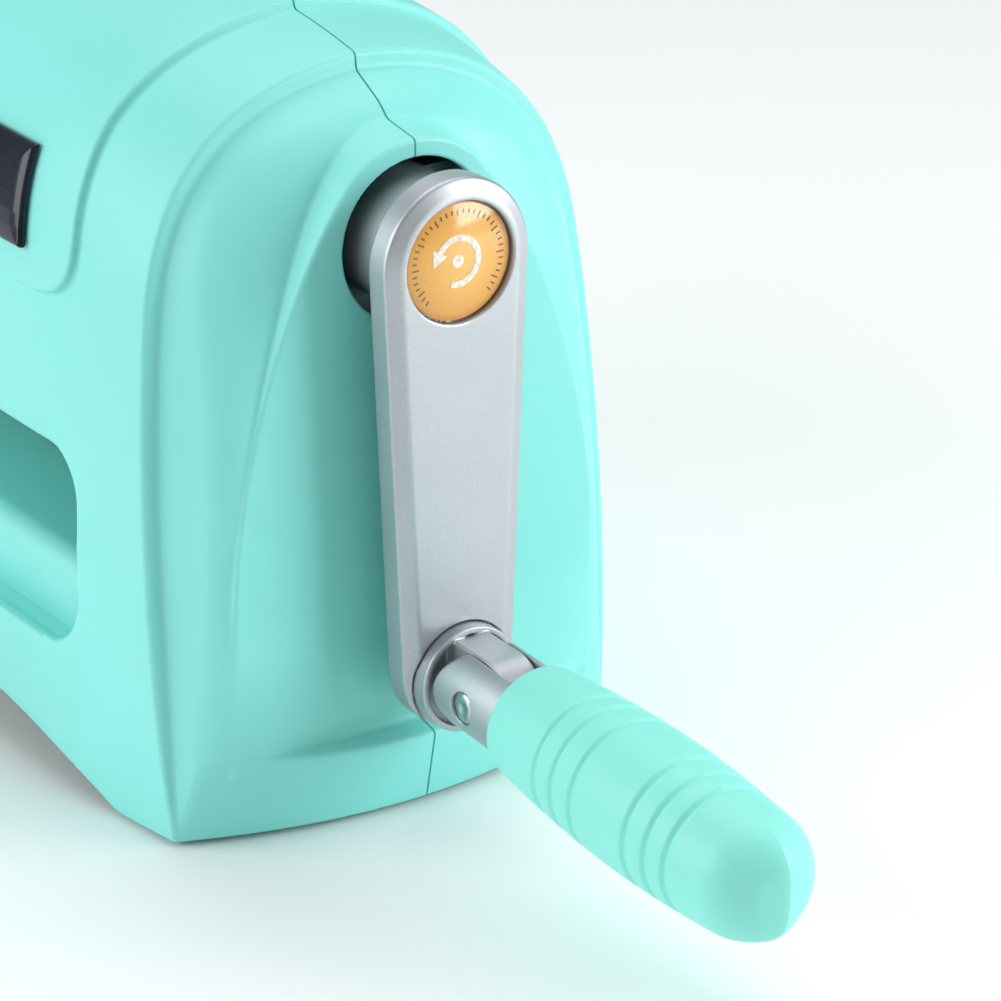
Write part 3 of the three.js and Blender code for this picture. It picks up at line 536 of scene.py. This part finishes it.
def rubber(name):
    shader = Shader(name, IOR=1.5)
    dust = shader.spread(shader.noise(120, 5, 0.7), 0.45, 0.7, 0, 0.5)
    base = shader.mix(dust, colour(34, 35, 37), colour(78, 82, 83))
    gloss = shader.spread(shader.noise(70, 3), 0.3, 0.7, 0.6, 0.8)
    grain = shader.bump(shader.noise(1500, 2), 0.00005)
    return shader.finish(Base_Color=base, Roughness=gloss, Normal=grain)


def badge_resin(name):
    """Near-black gloss label under a clear domed coat, with faint glitter and dust."""
    shader = Shader(name, IOR=1.33, Coat_Weight=0.35, Coat_Roughness=0.05)
    cloud = shader.spread(shader.noise(40, 4), 0.35, 0.65, 0, 1)
    base = shader.mix(cloud, colour(16, 21, 34), colour(32, 40, 60))
    glitter = shader.spread(shader.noise(1800, 1), 0.74, 0.8, 0, 0.5)
    base = shader.mix(glitter, base, colour(120, 132, 158))
    gloss = shader.spread(shader.noise(50, 3), 0.3, 0.7, 0.16, 0.28)
    ripple = shader.bump(shader.noise(60, 2), 0.0003, 0.3)
    return shader.finish(Base_Color=base, Roughness=gloss, Normal=ripple)


def printed_disc(name, centre, radius):
    """Orange print, paler in the middle and browner at the rim, with a faint dot screen."""
    shader = Shader(name, IOR=1.5)
    away = shader.node("VectorMath", operation="SUBTRACT")
    away.inputs[1].default_value = centre
    shader.put(away.inputs[0], shader.at)
    flat = shader.node("VectorMath", operation="MULTIPLY")
    flat.inputs[1].default_value = (0, 1 / radius, 1 / radius)
    shader.put(flat.inputs[0], away.outputs["Vector"])
    reach = shader.node("VectorMath", operation="LENGTH")
    shader.put(reach.inputs[0], flat.outputs["Vector"])
    out = reach.outputs["Value"]
    base = shader.mix(shader.spread(out, 0.1, 0.8, 0, 1), colour(244, 184, 72),
                      colour(232, 164, 46))
    base = shader.mix(shader.spread(out, 0.86, 0.99, 0, 0.7), base, colour(196, 128, 38))
    dots = shader.spread(shader.noise(2400, 1), 0.4, 0.7, 0, 0.12)
    base = shader.mix(dots, base, colour(255, 222, 150))
    gloss = shader.spread(shader.noise(60, 2), 0.3, 0.7, 0.35, 0.5)
    tooth = shader.bump(shader.noise(1400, 2), 0.00001)
    return shader.finish(Base_Color=base, Roughness=gloss, Normal=tooth)


def clear_resin(name):
    """A clear film: light passes, and a share of it is mirrored, with faint wipe marks."""
    shader = Shader(name, Metallic=1.0, Base_Color=(1, 0.99, 0.97, 1))
    wiped = shader.noise(300, 4, 0.7)
    gloss = shader.spread(wiped, 0.5, 0.75, 0.1, 0.22)
    share = shader.spread(wiped, 0.3, 0.7, 0.05, 0.07)
    ripple = shader.bump(shader.noise(90, 2), 0.0002, 0.25)
    return shader.finish(Roughness=gloss, Alpha=share, Normal=ripple)


def ink(name, shade):
    shader = Shader(name)
    cloud = shader.noise(900, 2)
    base = shader.mix(shader.spread(cloud, 0.3, 0.7, 0, 0.4), shade, colour(120, 92, 50))
    gloss = shader.spread(cloud, 0.3, 0.7, 0.4, 0.55)
    return shader.finish(Base_Color=base, Roughness=gloss,
                         Normal=shader.bump(cloud, 0.00001))


HUB = PLACE @ Vector((ARM_FACE_X, 0, HUB_Z))
MINT = colour(143, 233, 226)
MINT_DEEP = colour(134, 226, 218)
casing_plastic = moulded_plastic("casing_plastic", MINT, MINT_DEEP, 0.42)
grip_plastic = moulded_plastic("grip_plastic", colour(146, 236, 225), colour(136, 228, 215),
                               0.46, 0.00002, parting=True)
silver_paint = painted_metal("silver_paint")
turned_steel = steel("turned_steel", colour(196, 198, 202), colour(150, 153, 158), 0.2,
                     (2600, 60, 60))
plate_steel = steel("plate_steel", colour(188, 191, 196), colour(146, 150, 156), 0.3,
                    (90, 90, 1900))
zinc = steel("zinc", colour(208, 212, 216), colour(170, 176, 182), 0.24, (500, 500, 900))
pin_steel = steel("pin_steel", colour(226, 230, 232), colour(176, 182, 186), 0.16,
                  (300, 1200, 300))
bronze = steel("bronze", colour(196, 150, 92), colour(142, 100, 58), 0.34, (700, 90, 90))
foot_rubber = rubber("foot_rubber")
badge_gloss = badge_resin("badge_gloss")
orange_print = printed_disc("orange_print", HUB, MEDAL_R * MM)
clear_dome = clear_resin("clear_dome")
white_ink = ink("white_ink", colour(255, 250, 236))
brown_ink = ink("brown_ink", colour(112, 84, 38))


# ---- casing ----------------------------------------------------------------------------
SIDE = ((65, RIM_Z), (69.8, 38), (68.2, 92), (63, 129))
CROWN = ((63, 129), (58.5, 161), (39.5, 179), (0, BODY_TOP))
FLARE = ((19.4, 152.3), (29, 142), (48, 102), (49.5, 58))
PAD_TOP_R = 23.5
PAD_DRAFT = 0.16
PAD_ROOT = 100.0                 # where the pad's flanks end inside the casing
STEP_TAPER = 4.81                # taper of the side walls where the end caps start
STEP_INSET = 4.0                 # how far the end caps stand back from the side walls
STEP_SLOPE = 0.58
MAX_DRAW = 12.0
DOME_X, DOME_Y, DOME_Z = 134.0, 136.0, 61.3        # half sizes and height of the domed ends
DOME_ABOVE, DOME_BELOW = 199.0, 260.0
TUCK_X, TUCK_SLOPE, TUCK_CURVE = 127.5, 0.21, 0.0038    # how the ends draw in to the floor
HOOD_FOOT = 123.2
HOOD_NECK = 76.4


def both_sides(half):
    """A closed outline from its right half, which runs from the bottom to the top."""
    half = np.asarray(half)
    return np.concatenate([half, half[::-1] * (-1, 1)])


side_line = bezier(*SIDE, 24)
below = side_line[0] + (side_line[0] - side_line[1]) * 20
arch = Outline(both_sides(np.concatenate([[below], side_line, bezier(*CROWN, 28)[1:]])), 40)
flare_line = bezier(*FLARE, 30)
pad_round = arc((0, HUB_Z), PAD_TOP_R, math.degrees(0.6), 90, 20)
pad_foot = [(0, LEDGE_Z - 3), (49.5, LEDGE_Z - 3)]
pad_line = np.concatenate([pad_foot, flare_line[::-1], pad_round])
pad_outline = Outline(both_sides(pad_line), 60)
hood_sweep = bezier((80.6, 137.2), (81.6, 127.2), (76, HOOD_FOOT), (64, HOOD_FOOT), 24)
hood_neck = [(HOOD_NECK, 163.2), (HOOD_NECK, 260), (0, 260)]
hood_line = np.concatenate([[(0, HOOD_FOOT)], hood_sweep[::-1], hood_neck])
hood_outline = Outline(both_sides(hood_line), 30)


def taper(x):
    """How far the side walls have drawn in, by distance from the middle of the casing."""
    return 4.6 * np.maximum(0, (x - 55) / 45) ** 2


def side_walls(x, y, z):
    """The arched side walls and roof, drawn in toward the ends."""
    draw = np.minimum(taper(x), MAX_DRAW)
    return arch(y / (1 - draw / HALF_DEPTH), z / (1 - draw / BODY_TOP))


def domed_end(x, y, z):
    """Distance to the flattened ball that rounds both ends."""
    tall = np.where(z > DOME_Z, DOME_ABOVE, DOME_BELOW)
    up = z - DOME_Z
    reach = np.sqrt((x / DOME_X) ** 2 + (y / DOME_Y) ** 2 + (up / tall) ** 2)
    steep = np.sqrt((x / DOME_X ** 2) ** 2 + (y / DOME_Y ** 2) ** 2 + (up / tall ** 2) ** 2)
    return (reach - 1) * reach / np.maximum(steep, 1e-4)


def casing_outside(x, y, z):
    """The outside of the casing with its end caps, raised end panels and hood."""
    ax = np.abs(x)
    lean = 1 + (BODY_TOP - z) * STEP_LEAN / STEP_X
    u = ax / lean
    side = side_walls(u, y, z)
    body = round_max(side, (u - STEP_X) * lean, 1.0)
    capped = arch(y / (1 - STEP_TAPER / HALF_DEPTH), z / (1 - STEP_TAPER / BODY_TOP))
    slope = STEP_SLOPE * np.maximum(u - STEP_X, 0) * lean
    inset = STEP_INSET - 3.4 * np.clip(1 - z / 60, 0, 1) ** 2
    bevelled = (capped + inset + slope) * 0.865
    dome = domed_end(x, y, z)
    ledge = LEDGE_Z + 0.0007 * y ** 2 - 0.2 * (ax - PAD_X)
    bulge = soft_max(dome, ax - PAD_X + 0.4, 3)
    bulge = round_min(bulge, round_max(dome, z - ledge, 1.3), 1.0)
    cap = round_max(bevelled, bulge, 3.5)
    tucked = (ax - TUCK_X - TUCK_SLOPE * (z - RIM_Z) + TUCK_CURVE * y ** 2) * 0.96
    cap = round_max(cap, tucked, 1.2)
    outside = round_min(body, cap, 0.8)
    drafted = (pad_outline(y, z) - PAD_DRAFT * (PAD_X - ax)) * 0.985
    fade = 2 * np.clip((66 - z) / 26, 0, 1) ** 2
    pad = round_max(np.maximum(drafted, PAD_ROOT - ax), ax - PAD_X + fade, 0.9)
    outside = round_min(outside, pad, 0.7)
    hood = round_max(side - HOOD_RISE, hood_outline(x, z), 1.0)
    return round_min(outside, hood, 1.0)


def rounded_box(u, v, half, low, high, radius):
    """Distance to a rectangle about u = 0 whose corners have the radius."""
    across = np.abs(u) - half + radius
    along = np.abs(v - (low + high) / 2) - (high - low) / 2 + radius
    outside = np.hypot(np.maximum(across, 0), np.maximum(along, 0))
    return outside + np.minimum(np.maximum(across, along), 0) - radius


MOUTH_HALF = 83.6
MOUTH_LOW, MOUTH_HIGH = 38.0, 88.2
MOUTH_TOP_R, MOUTH_LOW_R = 12.0, 16.0
MOUTH_BACK = -24.0               # Y where the opening and its guard end inside
SILL_Z = 36.1
SILL_BACK = -58.95
ARCH_RISE = 15.0                 # how far the bottom edge rises in the middle
ARCH_HALF = 92.0
GUARD_FRONT = -65.8
GUARD_TOP, GUARD_DROP = 91.6, 7.9


def front_casing(x, y, z):
    """The casing wall with its feed opening, hub hole and arched bottom edge."""
    ax = np.abs(x)
    outside = casing_outside(x, y, z)
    shell = round_max(outside, -(outside + WALL), 0.6)
    shell = round_max(shell, RIM_Z - z, 0.8)
    corner = np.where(z > 62, MOUTH_TOP_R, MOUTH_LOW_R)
    mouth = rounded_box(x, z, MOUTH_HALF, MOUTH_LOW, MOUTH_HIGH, corner)
    shell = round_max(shell, -np.maximum(mouth, y - MOUTH_BACK), 1.6)
    brow = (rounded_box(x, z, 81, 60, MOUTH_HIGH, MOUTH_TOP_R) - 2.4 * (outside + 1.6)) * 0.385
    shell = round_max(shell, -np.maximum(brow, y - MOUTH_BACK), 0.5)
    sill = round_max(np.abs(z - SILL_Z) - 1.6, ax - MOUTH_HALF, 0.5)
    sill = np.maximum(sill, np.maximum(outside + 1.2, y - SILL_BACK))
    shell = round_min(shell, sill, 1.6)
    under = RIM_Z + ARCH_RISE - z - ARCH_RISE * np.minimum(ax / ARCH_HALF, 2) ** 2.6
    shell = round_max(shell, under * 0.93, 1.0)
    depth = (y - GUARD_FRONT) / (MOUTH_BACK - GUARD_FRONT)
    guard_top = GUARD_TOP - GUARD_DROP * np.clip(depth, 0, 1)
    guard = round_max(np.abs(z - guard_top + 1.5) - 1.5, ax - 83, 0.5)
    guard = round_max(guard, np.maximum(y - MOUTH_BACK, outside + 1), 0.5)
    shell = round_min(shell, guard, 0.8)
    hole = np.maximum(np.hypot(y, z - HUB_Z) - HUB_HOLE_R, 60 - x)
    return round_max(shell, -hole, 0.7)


SEAM = 0.5
front = moulded("casing_front", front_casing, (-136, -73, 0), (136, 3, 186), 0.85, 0.3,
                seam=-SEAM / 2)
finish_piece(front, "casing", "casing_plastic", casing_plastic, "front_shell")
rear = mirrored("casing_rear", front, CENTRE.y)
finish_piece(rear, "casing", "casing_plastic", casing_plastic, "rear_shell")


# ---- badge -----------------------------------------------------------------------------
BADGE_FACE = ((-64.1, 132.4), (64.1, 132.4), (60.1, 154.5), (-60.1, 154.5))
BADGE_THICK = 2.75               # off the hood's face, before the crowned rim
badge_outline = Outline(BADGE_FACE, 12, 0.25)


def badge_field(x, y, z):
    side = side_walls(np.abs(x), y, z)
    rim = badge_outline(x, z)
    crown = BADGE_THICK - 0.55 * np.clip(1 + rim / 4, 0, 1) ** 2
    slab = np.maximum(side - HOOD_RISE - crown, HOOD_RISE + 0.25 - side)
    return round_max(slab, np.maximum(rim, y + 20), 0.9)


badge = moulded("badge_plate", badge_field, (-66, -74, 130), (66, -50, 157), 0.55, 0.5)
finish_piece(badge, "casing", "badge_gloss", badge_gloss, "badge")

# ---- feed tables -----------------------------------------------------------------------
TABLE_HALF = 82.8
TABLE_BACK, TABLE_FRONT, TABLE_FOOT = 20, 59, 33
NOSE = (55.5, TABLE_Z - 5)
NOSE_R = 5
SHEET = 2.6


def table_section():
    """The bent sheet in section: outer face forward, inner face back."""
    outer = [(TABLE_BACK, TABLE_Z), *arc(NOSE, NOSE_R, 90, 0, 14), (TABLE_FRONT, TABLE_FOOT)]
    inner = [(TABLE_FRONT - SHEET, TABLE_FOOT), *arc(NOSE, NOSE_R - SHEET, 0, 90, 10),
             (TABLE_BACK, TABLE_Z - SHEET)]
    return outer + inner


def feed_table(name, side, node):
    section = table_section()
    count = len(section)
    vertices = [(x, side * y, z) for x in (-TABLE_HALF, TABLE_HALF) for y, z in section]
    faces = [tuple(range(count)), tuple(range(count, 2 * count))[::-1]]
    for i in range(count):
        j = (i + 1) % count
        faces.append((j, i, i + count, j + count))
    if side > 0:
        faces = [face[::-1] for face in faces]
    table = new_object(name, vertices, faces)
    break_edges(table, 0.5, 3, 40)
    smooth(table, 50)
    finish_piece(table, "casing", "casing_plastic", casing_plastic, node)


feed_table("table_front", -1, "front_feed_table")
feed_table("table_rear", 1, "rear_feed_table")

# ---- crank arm -------------------------------------------------------------------------
ARM_TOP_R = 19.1
ARM_LOW_R = 15.0
ARM_END = 98.0
BOSS_R = 15.5
BOSS_X = 112.8


def link(y, z, top, low, length):
    """Distance to two discs joined by their tangents: top at 0, low at -length."""
    sine = (top - low) / length
    cosine = math.sqrt(1 - sine ** 2)
    ay = np.abs(y)
    along = -z * cosine - ay * sine
    wall = ay * cosine - z * sine - top
    low_end = np.where(along > length * cosine, np.hypot(y, z + length) - low, wall)
    return np.where(along < 0, np.hypot(y, z) - top, low_end)


def arm_field(x, y, z):
    z = z - HUB_Z
    side = link(y, z, ARM_TOP_R, ARM_LOW_R, ARM_END)
    face = x - ARM_FACE_X
    arm = round_max(side, face, 2.6)
    band = (side + 3.6) * 0.42 + face * 0.91
    arm = round_max(arm, band, 0.3)
    arm = round_max(arm, ARM_BACK_X - x, 1.2)
    boss = round_max(np.hypot(y, z) - BOSS_R, np.maximum(BOSS_X - x, x - 136), 1.0)
    arm = round_min(arm, boss, 1.2)
    low = np.hypot(y, z + THROW)
    for cut, edge in ((np.maximum(np.hypot(y, z) - 14.15, ARM_FACE_X - 2.4 - x), 0.5),
                      (np.maximum(low - 13.2, ARM_FACE_X - 2 - x), 0.3),
                      (np.maximum(np.hypot(y, z) - 8.2, x - 134.9), 0.4),
                      (np.maximum(np.hypot(y, z) - 7.6, 136.1 - x), 0.3),
                      (np.maximum(low - 5.2, x - ARM_BACK_X - 4.2), 0.4),
                      (low - 2.7, 0.3)):
        arm = round_max(arm, -cut, edge)
    return arm


arm = moulded("crank_lever", arm_field, (111, -21.5, 20), (144, 21.5, 160.5), 0.45, 0.4)
finish_piece(arm, "crank", "silver_paint", silver_paint, "crank_arm")

# ---- handle joint ----------------------------------------------------------------------
RING_R = 12.9
RING_PROUD = 3.2
TONGUE_W = 9.6
TONGUE_RISE = 10.3
PIN_R = 2.6
LOW_Z = HUB_Z - THROW
SOCKET = PLACE @ Matrix.Translation((ARM_FACE_X, 0, LOW_Z))
HANDLE = PLACE @ Matrix.Translation((PIN_X, 0, PIN_Z)) @ Matrix.Rotation(DROOP, 4, "Y")


def socket_field(x, y, z):
    radius = np.hypot(y, z)
    ring = round_max(radius - RING_R, np.maximum(x - RING_PROUD, -1.9 - x), 0.5)
    dish = np.maximum(radius - 11.3, 0.6 - x)
    ring = round_max(ring, -dish, 0.4)
    past_pin = np.maximum(x - PIN_X + ARM_FACE_X, 0)
    tongue = round_max(np.hypot(past_pin, z - 0.6) - TONGUE_RISE,
                       np.maximum(np.abs(y) - TONGUE_W / 2, -x), 0.5)
    body = round_min(ring, tongue, 0.5)
    pin = np.hypot(x - PIN_X + ARM_FACE_X, z - 0.6) - (PIN_R + 0.15)
    return round_max(body, -pin, 0.3)


socket = moulded("clevis_tongue", socket_field, (-3, -14, -14), (27, 14, 14), 0.3, 0.5, SOCKET)
finish_piece(socket, "crank", "silver_paint", silver_paint, "handle_socket")

EAR_R = 11.3
SLOT_HALF = TONGUE_W / 2 + 0.4
SLOT_END = 11.0
NECK_R = 7.8
NECK_END = 22.0


def yoke_field(x, y, z):
    radius = np.hypot(y, z)
    barrel = round_max(radius - YOKE_R, x - YOKE_END, 0.4)
    neck = round_max(radius - NECK_R, np.maximum(x - NECK_END, -x), 0.4)
    body = round_min(barrel, neck, 0.3)
    body = round_max(body, np.hypot(np.minimum(x, 0), z) - EAR_R, 0.8)
    slot = round_max(np.abs(y) - SLOT_HALF, x - SLOT_END, 1.2)
    body = round_max(body, -slot, 0.45)
    bore = np.hypot(x, z)
    body = round_max(body, -(bore - PIN_R - 0.15), 0.3)
    pocket = np.maximum(bore - 3.85, YOKE_R - 1.5 - np.abs(y))
    body = round_max(body, -pocket, 0.35)
    return round_max(body, -np.maximum(radius - 3.3, SLOT_END + 0.6 - x), 0.3)


yoke = moulded("clevis_fork", yoke_field, (-12.5, -12.5, -12.5), (23, 12.5, 12.5), 0.3, 0.5,
               HANDLE)
finish_piece(yoke, "handle", "silver_paint", silver_paint, "handle_yoke")

ACROSS = HANDLE @ Matrix.Rotation(math.radians(90), 4, "Z")
pin_half = YOKE_R - 0.7
head_end = [(pin_half - 1.0, 3.5), (pin_half - 0.3, 3.5), (pin_half, 3.1),
            (pin_half + 0.12, 1.8), (pin_half, 1.2), (pin_half - 0.25, 0)]
pin_profile = [(-a, r) for a, r in reversed(head_end)]
pin_profile += [(1.0 - pin_half, PIN_R), (pin_half - 1.0, PIN_R)] + head_end
pin = turned("hinge_rivet", pin_profile, ACROSS, 64)
finish_piece(pin, "handle", "zinc_hardware", pin_steel, "hinge_pin")

# ---- grip ------------------------------------------------------------------------------
GRIP_KNOTS = ((0, 13.4), (14, 14.9), (32, 16.1), (48, 16.4), (64, 15.8), (80, 14.5),
              (97, 12.4))
GROOVES = (21.6, 28.3, 35.7, 55.2, 62, 68.4)


def spline(knots, at):
    """Catmull-Rom heights through the knots, by position along them."""
    x, y = np.array(knots).T
    slope = np.gradient(y, x)
    i = np.clip(np.searchsorted(x, at) - 1, 0, len(x) - 2)
    width = x[i + 1] - x[i]
    t = np.clip((at - x[i]) / width, 0, 1)
    a, b = y[i], y[i + 1]
    return ((2 * t ** 3 - 3 * t ** 2 + 1) * a + (t ** 3 - 2 * t ** 2 + t) * width * slope[i]
            + (3 * t ** 2 - 2 * t ** 3) * b + (t ** 3 - t ** 2) * width * slope[i + 1])


def grip_field(x, y, z):
    along = x - GRIP_START
    radius = np.hypot(y, z)
    body = (radius - spline(GRIP_KNOTS, np.clip(along, 0, GRIP_LENGTH))) * 0.99
    ridge = np.sqrt(y ** 2 + 1) - 1
    facets = (along - GRIP_LENGTH + 5 + 0.016 * z ** 2) * 0.934 + ridge * 0.358
    body = round_max(body, facets, 7)
    body = round_max(body, -along, 1.6)
    for at in GROOVES:
        dip = np.maximum(1 - np.abs(along - at) / 1.5, 0) ** 2
        body = body + 0.75 * dip * (3 - 2 * np.sqrt(dip))
    bore = np.where(along < NECK_END + 0.6 - GRIP_START, NECK_R + 0.6, 4.5)
    inside = np.maximum(radius - bore, along - 80)
    return round_max(body, -inside, 0.4)


grip = moulded("grip_moulding", grip_field, (GRIP_START - 0.5, -17.5, -17.5),
               (GRIP_START + 98, 17.5, 17.5), 0.42, 0.5, HANDLE)
finish_piece(grip, "grip", "grip_plastic", grip_plastic, "grip")

# ---- medallion -------------------------------------------------------------------------
PRINT_X = ARM_FACE_X - 1.4
HUB_PLACE = PLACE @ Matrix.Translation((0, 0, HUB_Z))
disc_profile = [(PRINT_X - 0.9, 0), (PRINT_X - 0.9, MEDAL_R - 0.4),
                (PRINT_X - 0.75, MEDAL_R - 0.25), (PRINT_X - 0.1, MEDAL_R - 0.25),
                (PRINT_X, MEDAL_R - 0.4), (PRINT_X, 0)]
disc = turned("label_print", disc_profile, HUB_PLACE, 128)
finish_piece(disc, "crank", "orange_print", orange_print, "medallion_print")

DOME_LOW = PRINT_X - 0.1
dome_profile = [(DOME_LOW, 0), (DOME_LOW, MEDAL_R - 0.35), (DOME_LOW + 0.15, MEDAL_R - 0.2)]
DOME_RIM = MEDAL_R - 0.45
DOME_RISE = 1.9
dome_curve = (DOME_RIM ** 2 + DOME_RISE ** 2) / (2 * DOME_RISE)
for step in range(16):
    radius = DOME_RIM * (1 - step / 15)
    sink = dome_curve - math.sqrt(dome_curve ** 2 - radius ** 2)
    dome_profile.append((DOME_LOW + 0.6 + DOME_RISE - sink, radius))
dome = turned("label_dome", dome_profile, HUB_PLACE, 128)
dome.data.shade_smooth()
finish_piece(dome, "crank", "clear_dome", clear_dome, "medallion_dome")


def flat_shapes(name, shapes, height, look, slot):
    """Thin raised shapes on the label, each a closed outline in (Y, Z) about the hub."""
    vertices, faces = [], []
    for shape in shapes:
        first, count = len(vertices), len(shape)
        vertices += [(x, y, z) for x in (PRINT_X + 0.02, PRINT_X + 0.02 + height)
                     for y, z in shape]
        faces.append([first + i for i in range(count)][::-1])
        faces.append([first + count + i for i in range(count)])
        for i in range(count):
            j = (i + 1) % count
            faces.append([first + i, first + j, first + count + j, first + count + i])
    thing = new_object(name, vertices, faces, HUB_PLACE)
    finish_piece(thing, "crank", slot, look)


def ring_block(inner, outer, start, end, count=8):
    """A curved block between two radii, counter-clockwise, angles in degrees."""
    return [*arc((0, 0), outer, start, end, count), *arc((0, 0), inner, end, start, count)]


ticks = []
for index in range(48):
    middle = 90 + index * 7.5
    long_tick = index % 4 == 0
    if 225 < middle % 360 < 315:
        continue
    ticks.append(ring_block(10.3 if long_tick else 11.0, 12.1, middle - 0.9, middle + 0.9, 3))
flat_shapes("label_ticks", ticks, 0.1, brown_ink, "orange_print")

ARROW_R = 5.4
ARROW_HEAD = 150                 # degrees, where the shaft ends and the head begins
ARROW_SWEEP = 260
SHAFT_HALF = 0.75
HEAD_HALF = 2.1
HEAD_LENGTH = 3.6
DOT_R = 1.5
arrow = [ring_block(ARROW_R - SHAFT_HALF, ARROW_R + SHAFT_HALF, ARROW_HEAD - ARROW_SWEEP,
                    ARROW_HEAD, 40)]
head = math.radians(ARROW_HEAD)
out = np.array([math.cos(head), math.sin(head)])
ahead = np.array([-math.sin(head), math.cos(head)])
arrow.append([tuple(out * (ARROW_R - HEAD_HALF)), tuple(out * (ARROW_R + HEAD_HALF)),
              tuple(out * ARROW_R + ahead * HEAD_LENGTH)])
dot_turns = np.linspace(0, 2 * math.pi, 32)[:-1]
arrow.append([(DOT_R * math.cos(turn), DOT_R * math.sin(turn)) for turn in dot_turns])
flat_shapes("label_arrow", arrow, 0.1, white_ink, "orange_print")

# ---- frame, rollers and fastenings -----------------------------------------------------
LOOKS = {"machined_steel": turned_steel, "zinc_hardware": zinc, "bush_bronze": bronze,
         "foot_rubber": foot_rubber}


def edged(node):
    """A CAD node with its edges broken and its round faces shaded smooth."""
    slot = node.data.materials[0].name
    shape = bmesh.new()
    shape.from_mesh(node.data)
    bmesh.ops.remove_doubles(shape, verts=shape.verts, dist=1e-6)
    bmesh.ops.dissolve_limit(shape, angle_limit=math.radians(1), verts=shape.verts,
                             edges=shape.edges)
    mesh = bpy.data.meshes.new(node.name + "_edged")
    shape.to_mesh(mesh)
    shape.free()
    thing = bpy.data.objects.new(node.name + "_edged", mesh)
    bpy.context.scene.collection.objects.link(thing)
    break_edges(thing, 0.25, 2, 35)
    smooth(thing, 32)
    look = plate_steel if "plate" in node.name else LOOKS[slot]
    finish_piece(thing, node["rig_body"], slot, look, node.name)


for node in list(frame["nodes"].values()):
    if not node.hide_render:
        edged(node)

# ---- lights, floor ---------------------------------------------------------------------
bpy.context.scene.view_settings.view_transform = "Standard"


def area_light(name, at, toward, width, height, power):
    data = bpy.data.lights.new(name, "AREA")
    data.shape = "RECTANGLE"
    data.size, data.size_y = width, height
    data.energy = power
    light = bpy.data.objects.new(name, data)
    bpy.context.scene.collection.objects.link(light)
    light.location = PLACE @ Vector(at)
    direction = Vector(toward) - Vector(at)
    light.rotation_euler = direction.to_track_quat("-Z", "Y").to_euler()


area_light("softbox_top", (-400, 400, 2200), (-100, 100, 60), 2.4, 2.4, 34)
area_light("softbox_front", (-350, -1300, 620), (0, 0, 90), 1.3, 1.0, 14)
area_light("softbox_right", (680, 560, 340), (125, 0, 90), 0.5, 0.5, 5.2)

world = bpy.data.worlds.new("studio")
bpy.context.scene.world = world
world.use_nodes = True
world.node_tree.nodes["Background"].inputs["Color"].default_value = (0.97, 1.0, 1.0, 1)
world.node_tree.nodes["Background"].inputs["Strength"].default_value = 0.24

FLOOR_HALF = 9000
floor = new_object("floor", [(-FLOOR_HALF, -FLOOR_HALF, 0), (FLOOR_HALF, -FLOOR_HALF, 0),
                             (FLOOR_HALF, FLOOR_HALF, 0), (-FLOOR_HALF, FLOOR_HALF, 0)],
                   [(0, 1, 2, 3)])
floor_look = Shader("floor_look", Base_Color=colour(247, 250, 250), Roughness=0.6)
floor.data.materials.append(floor_look.material)
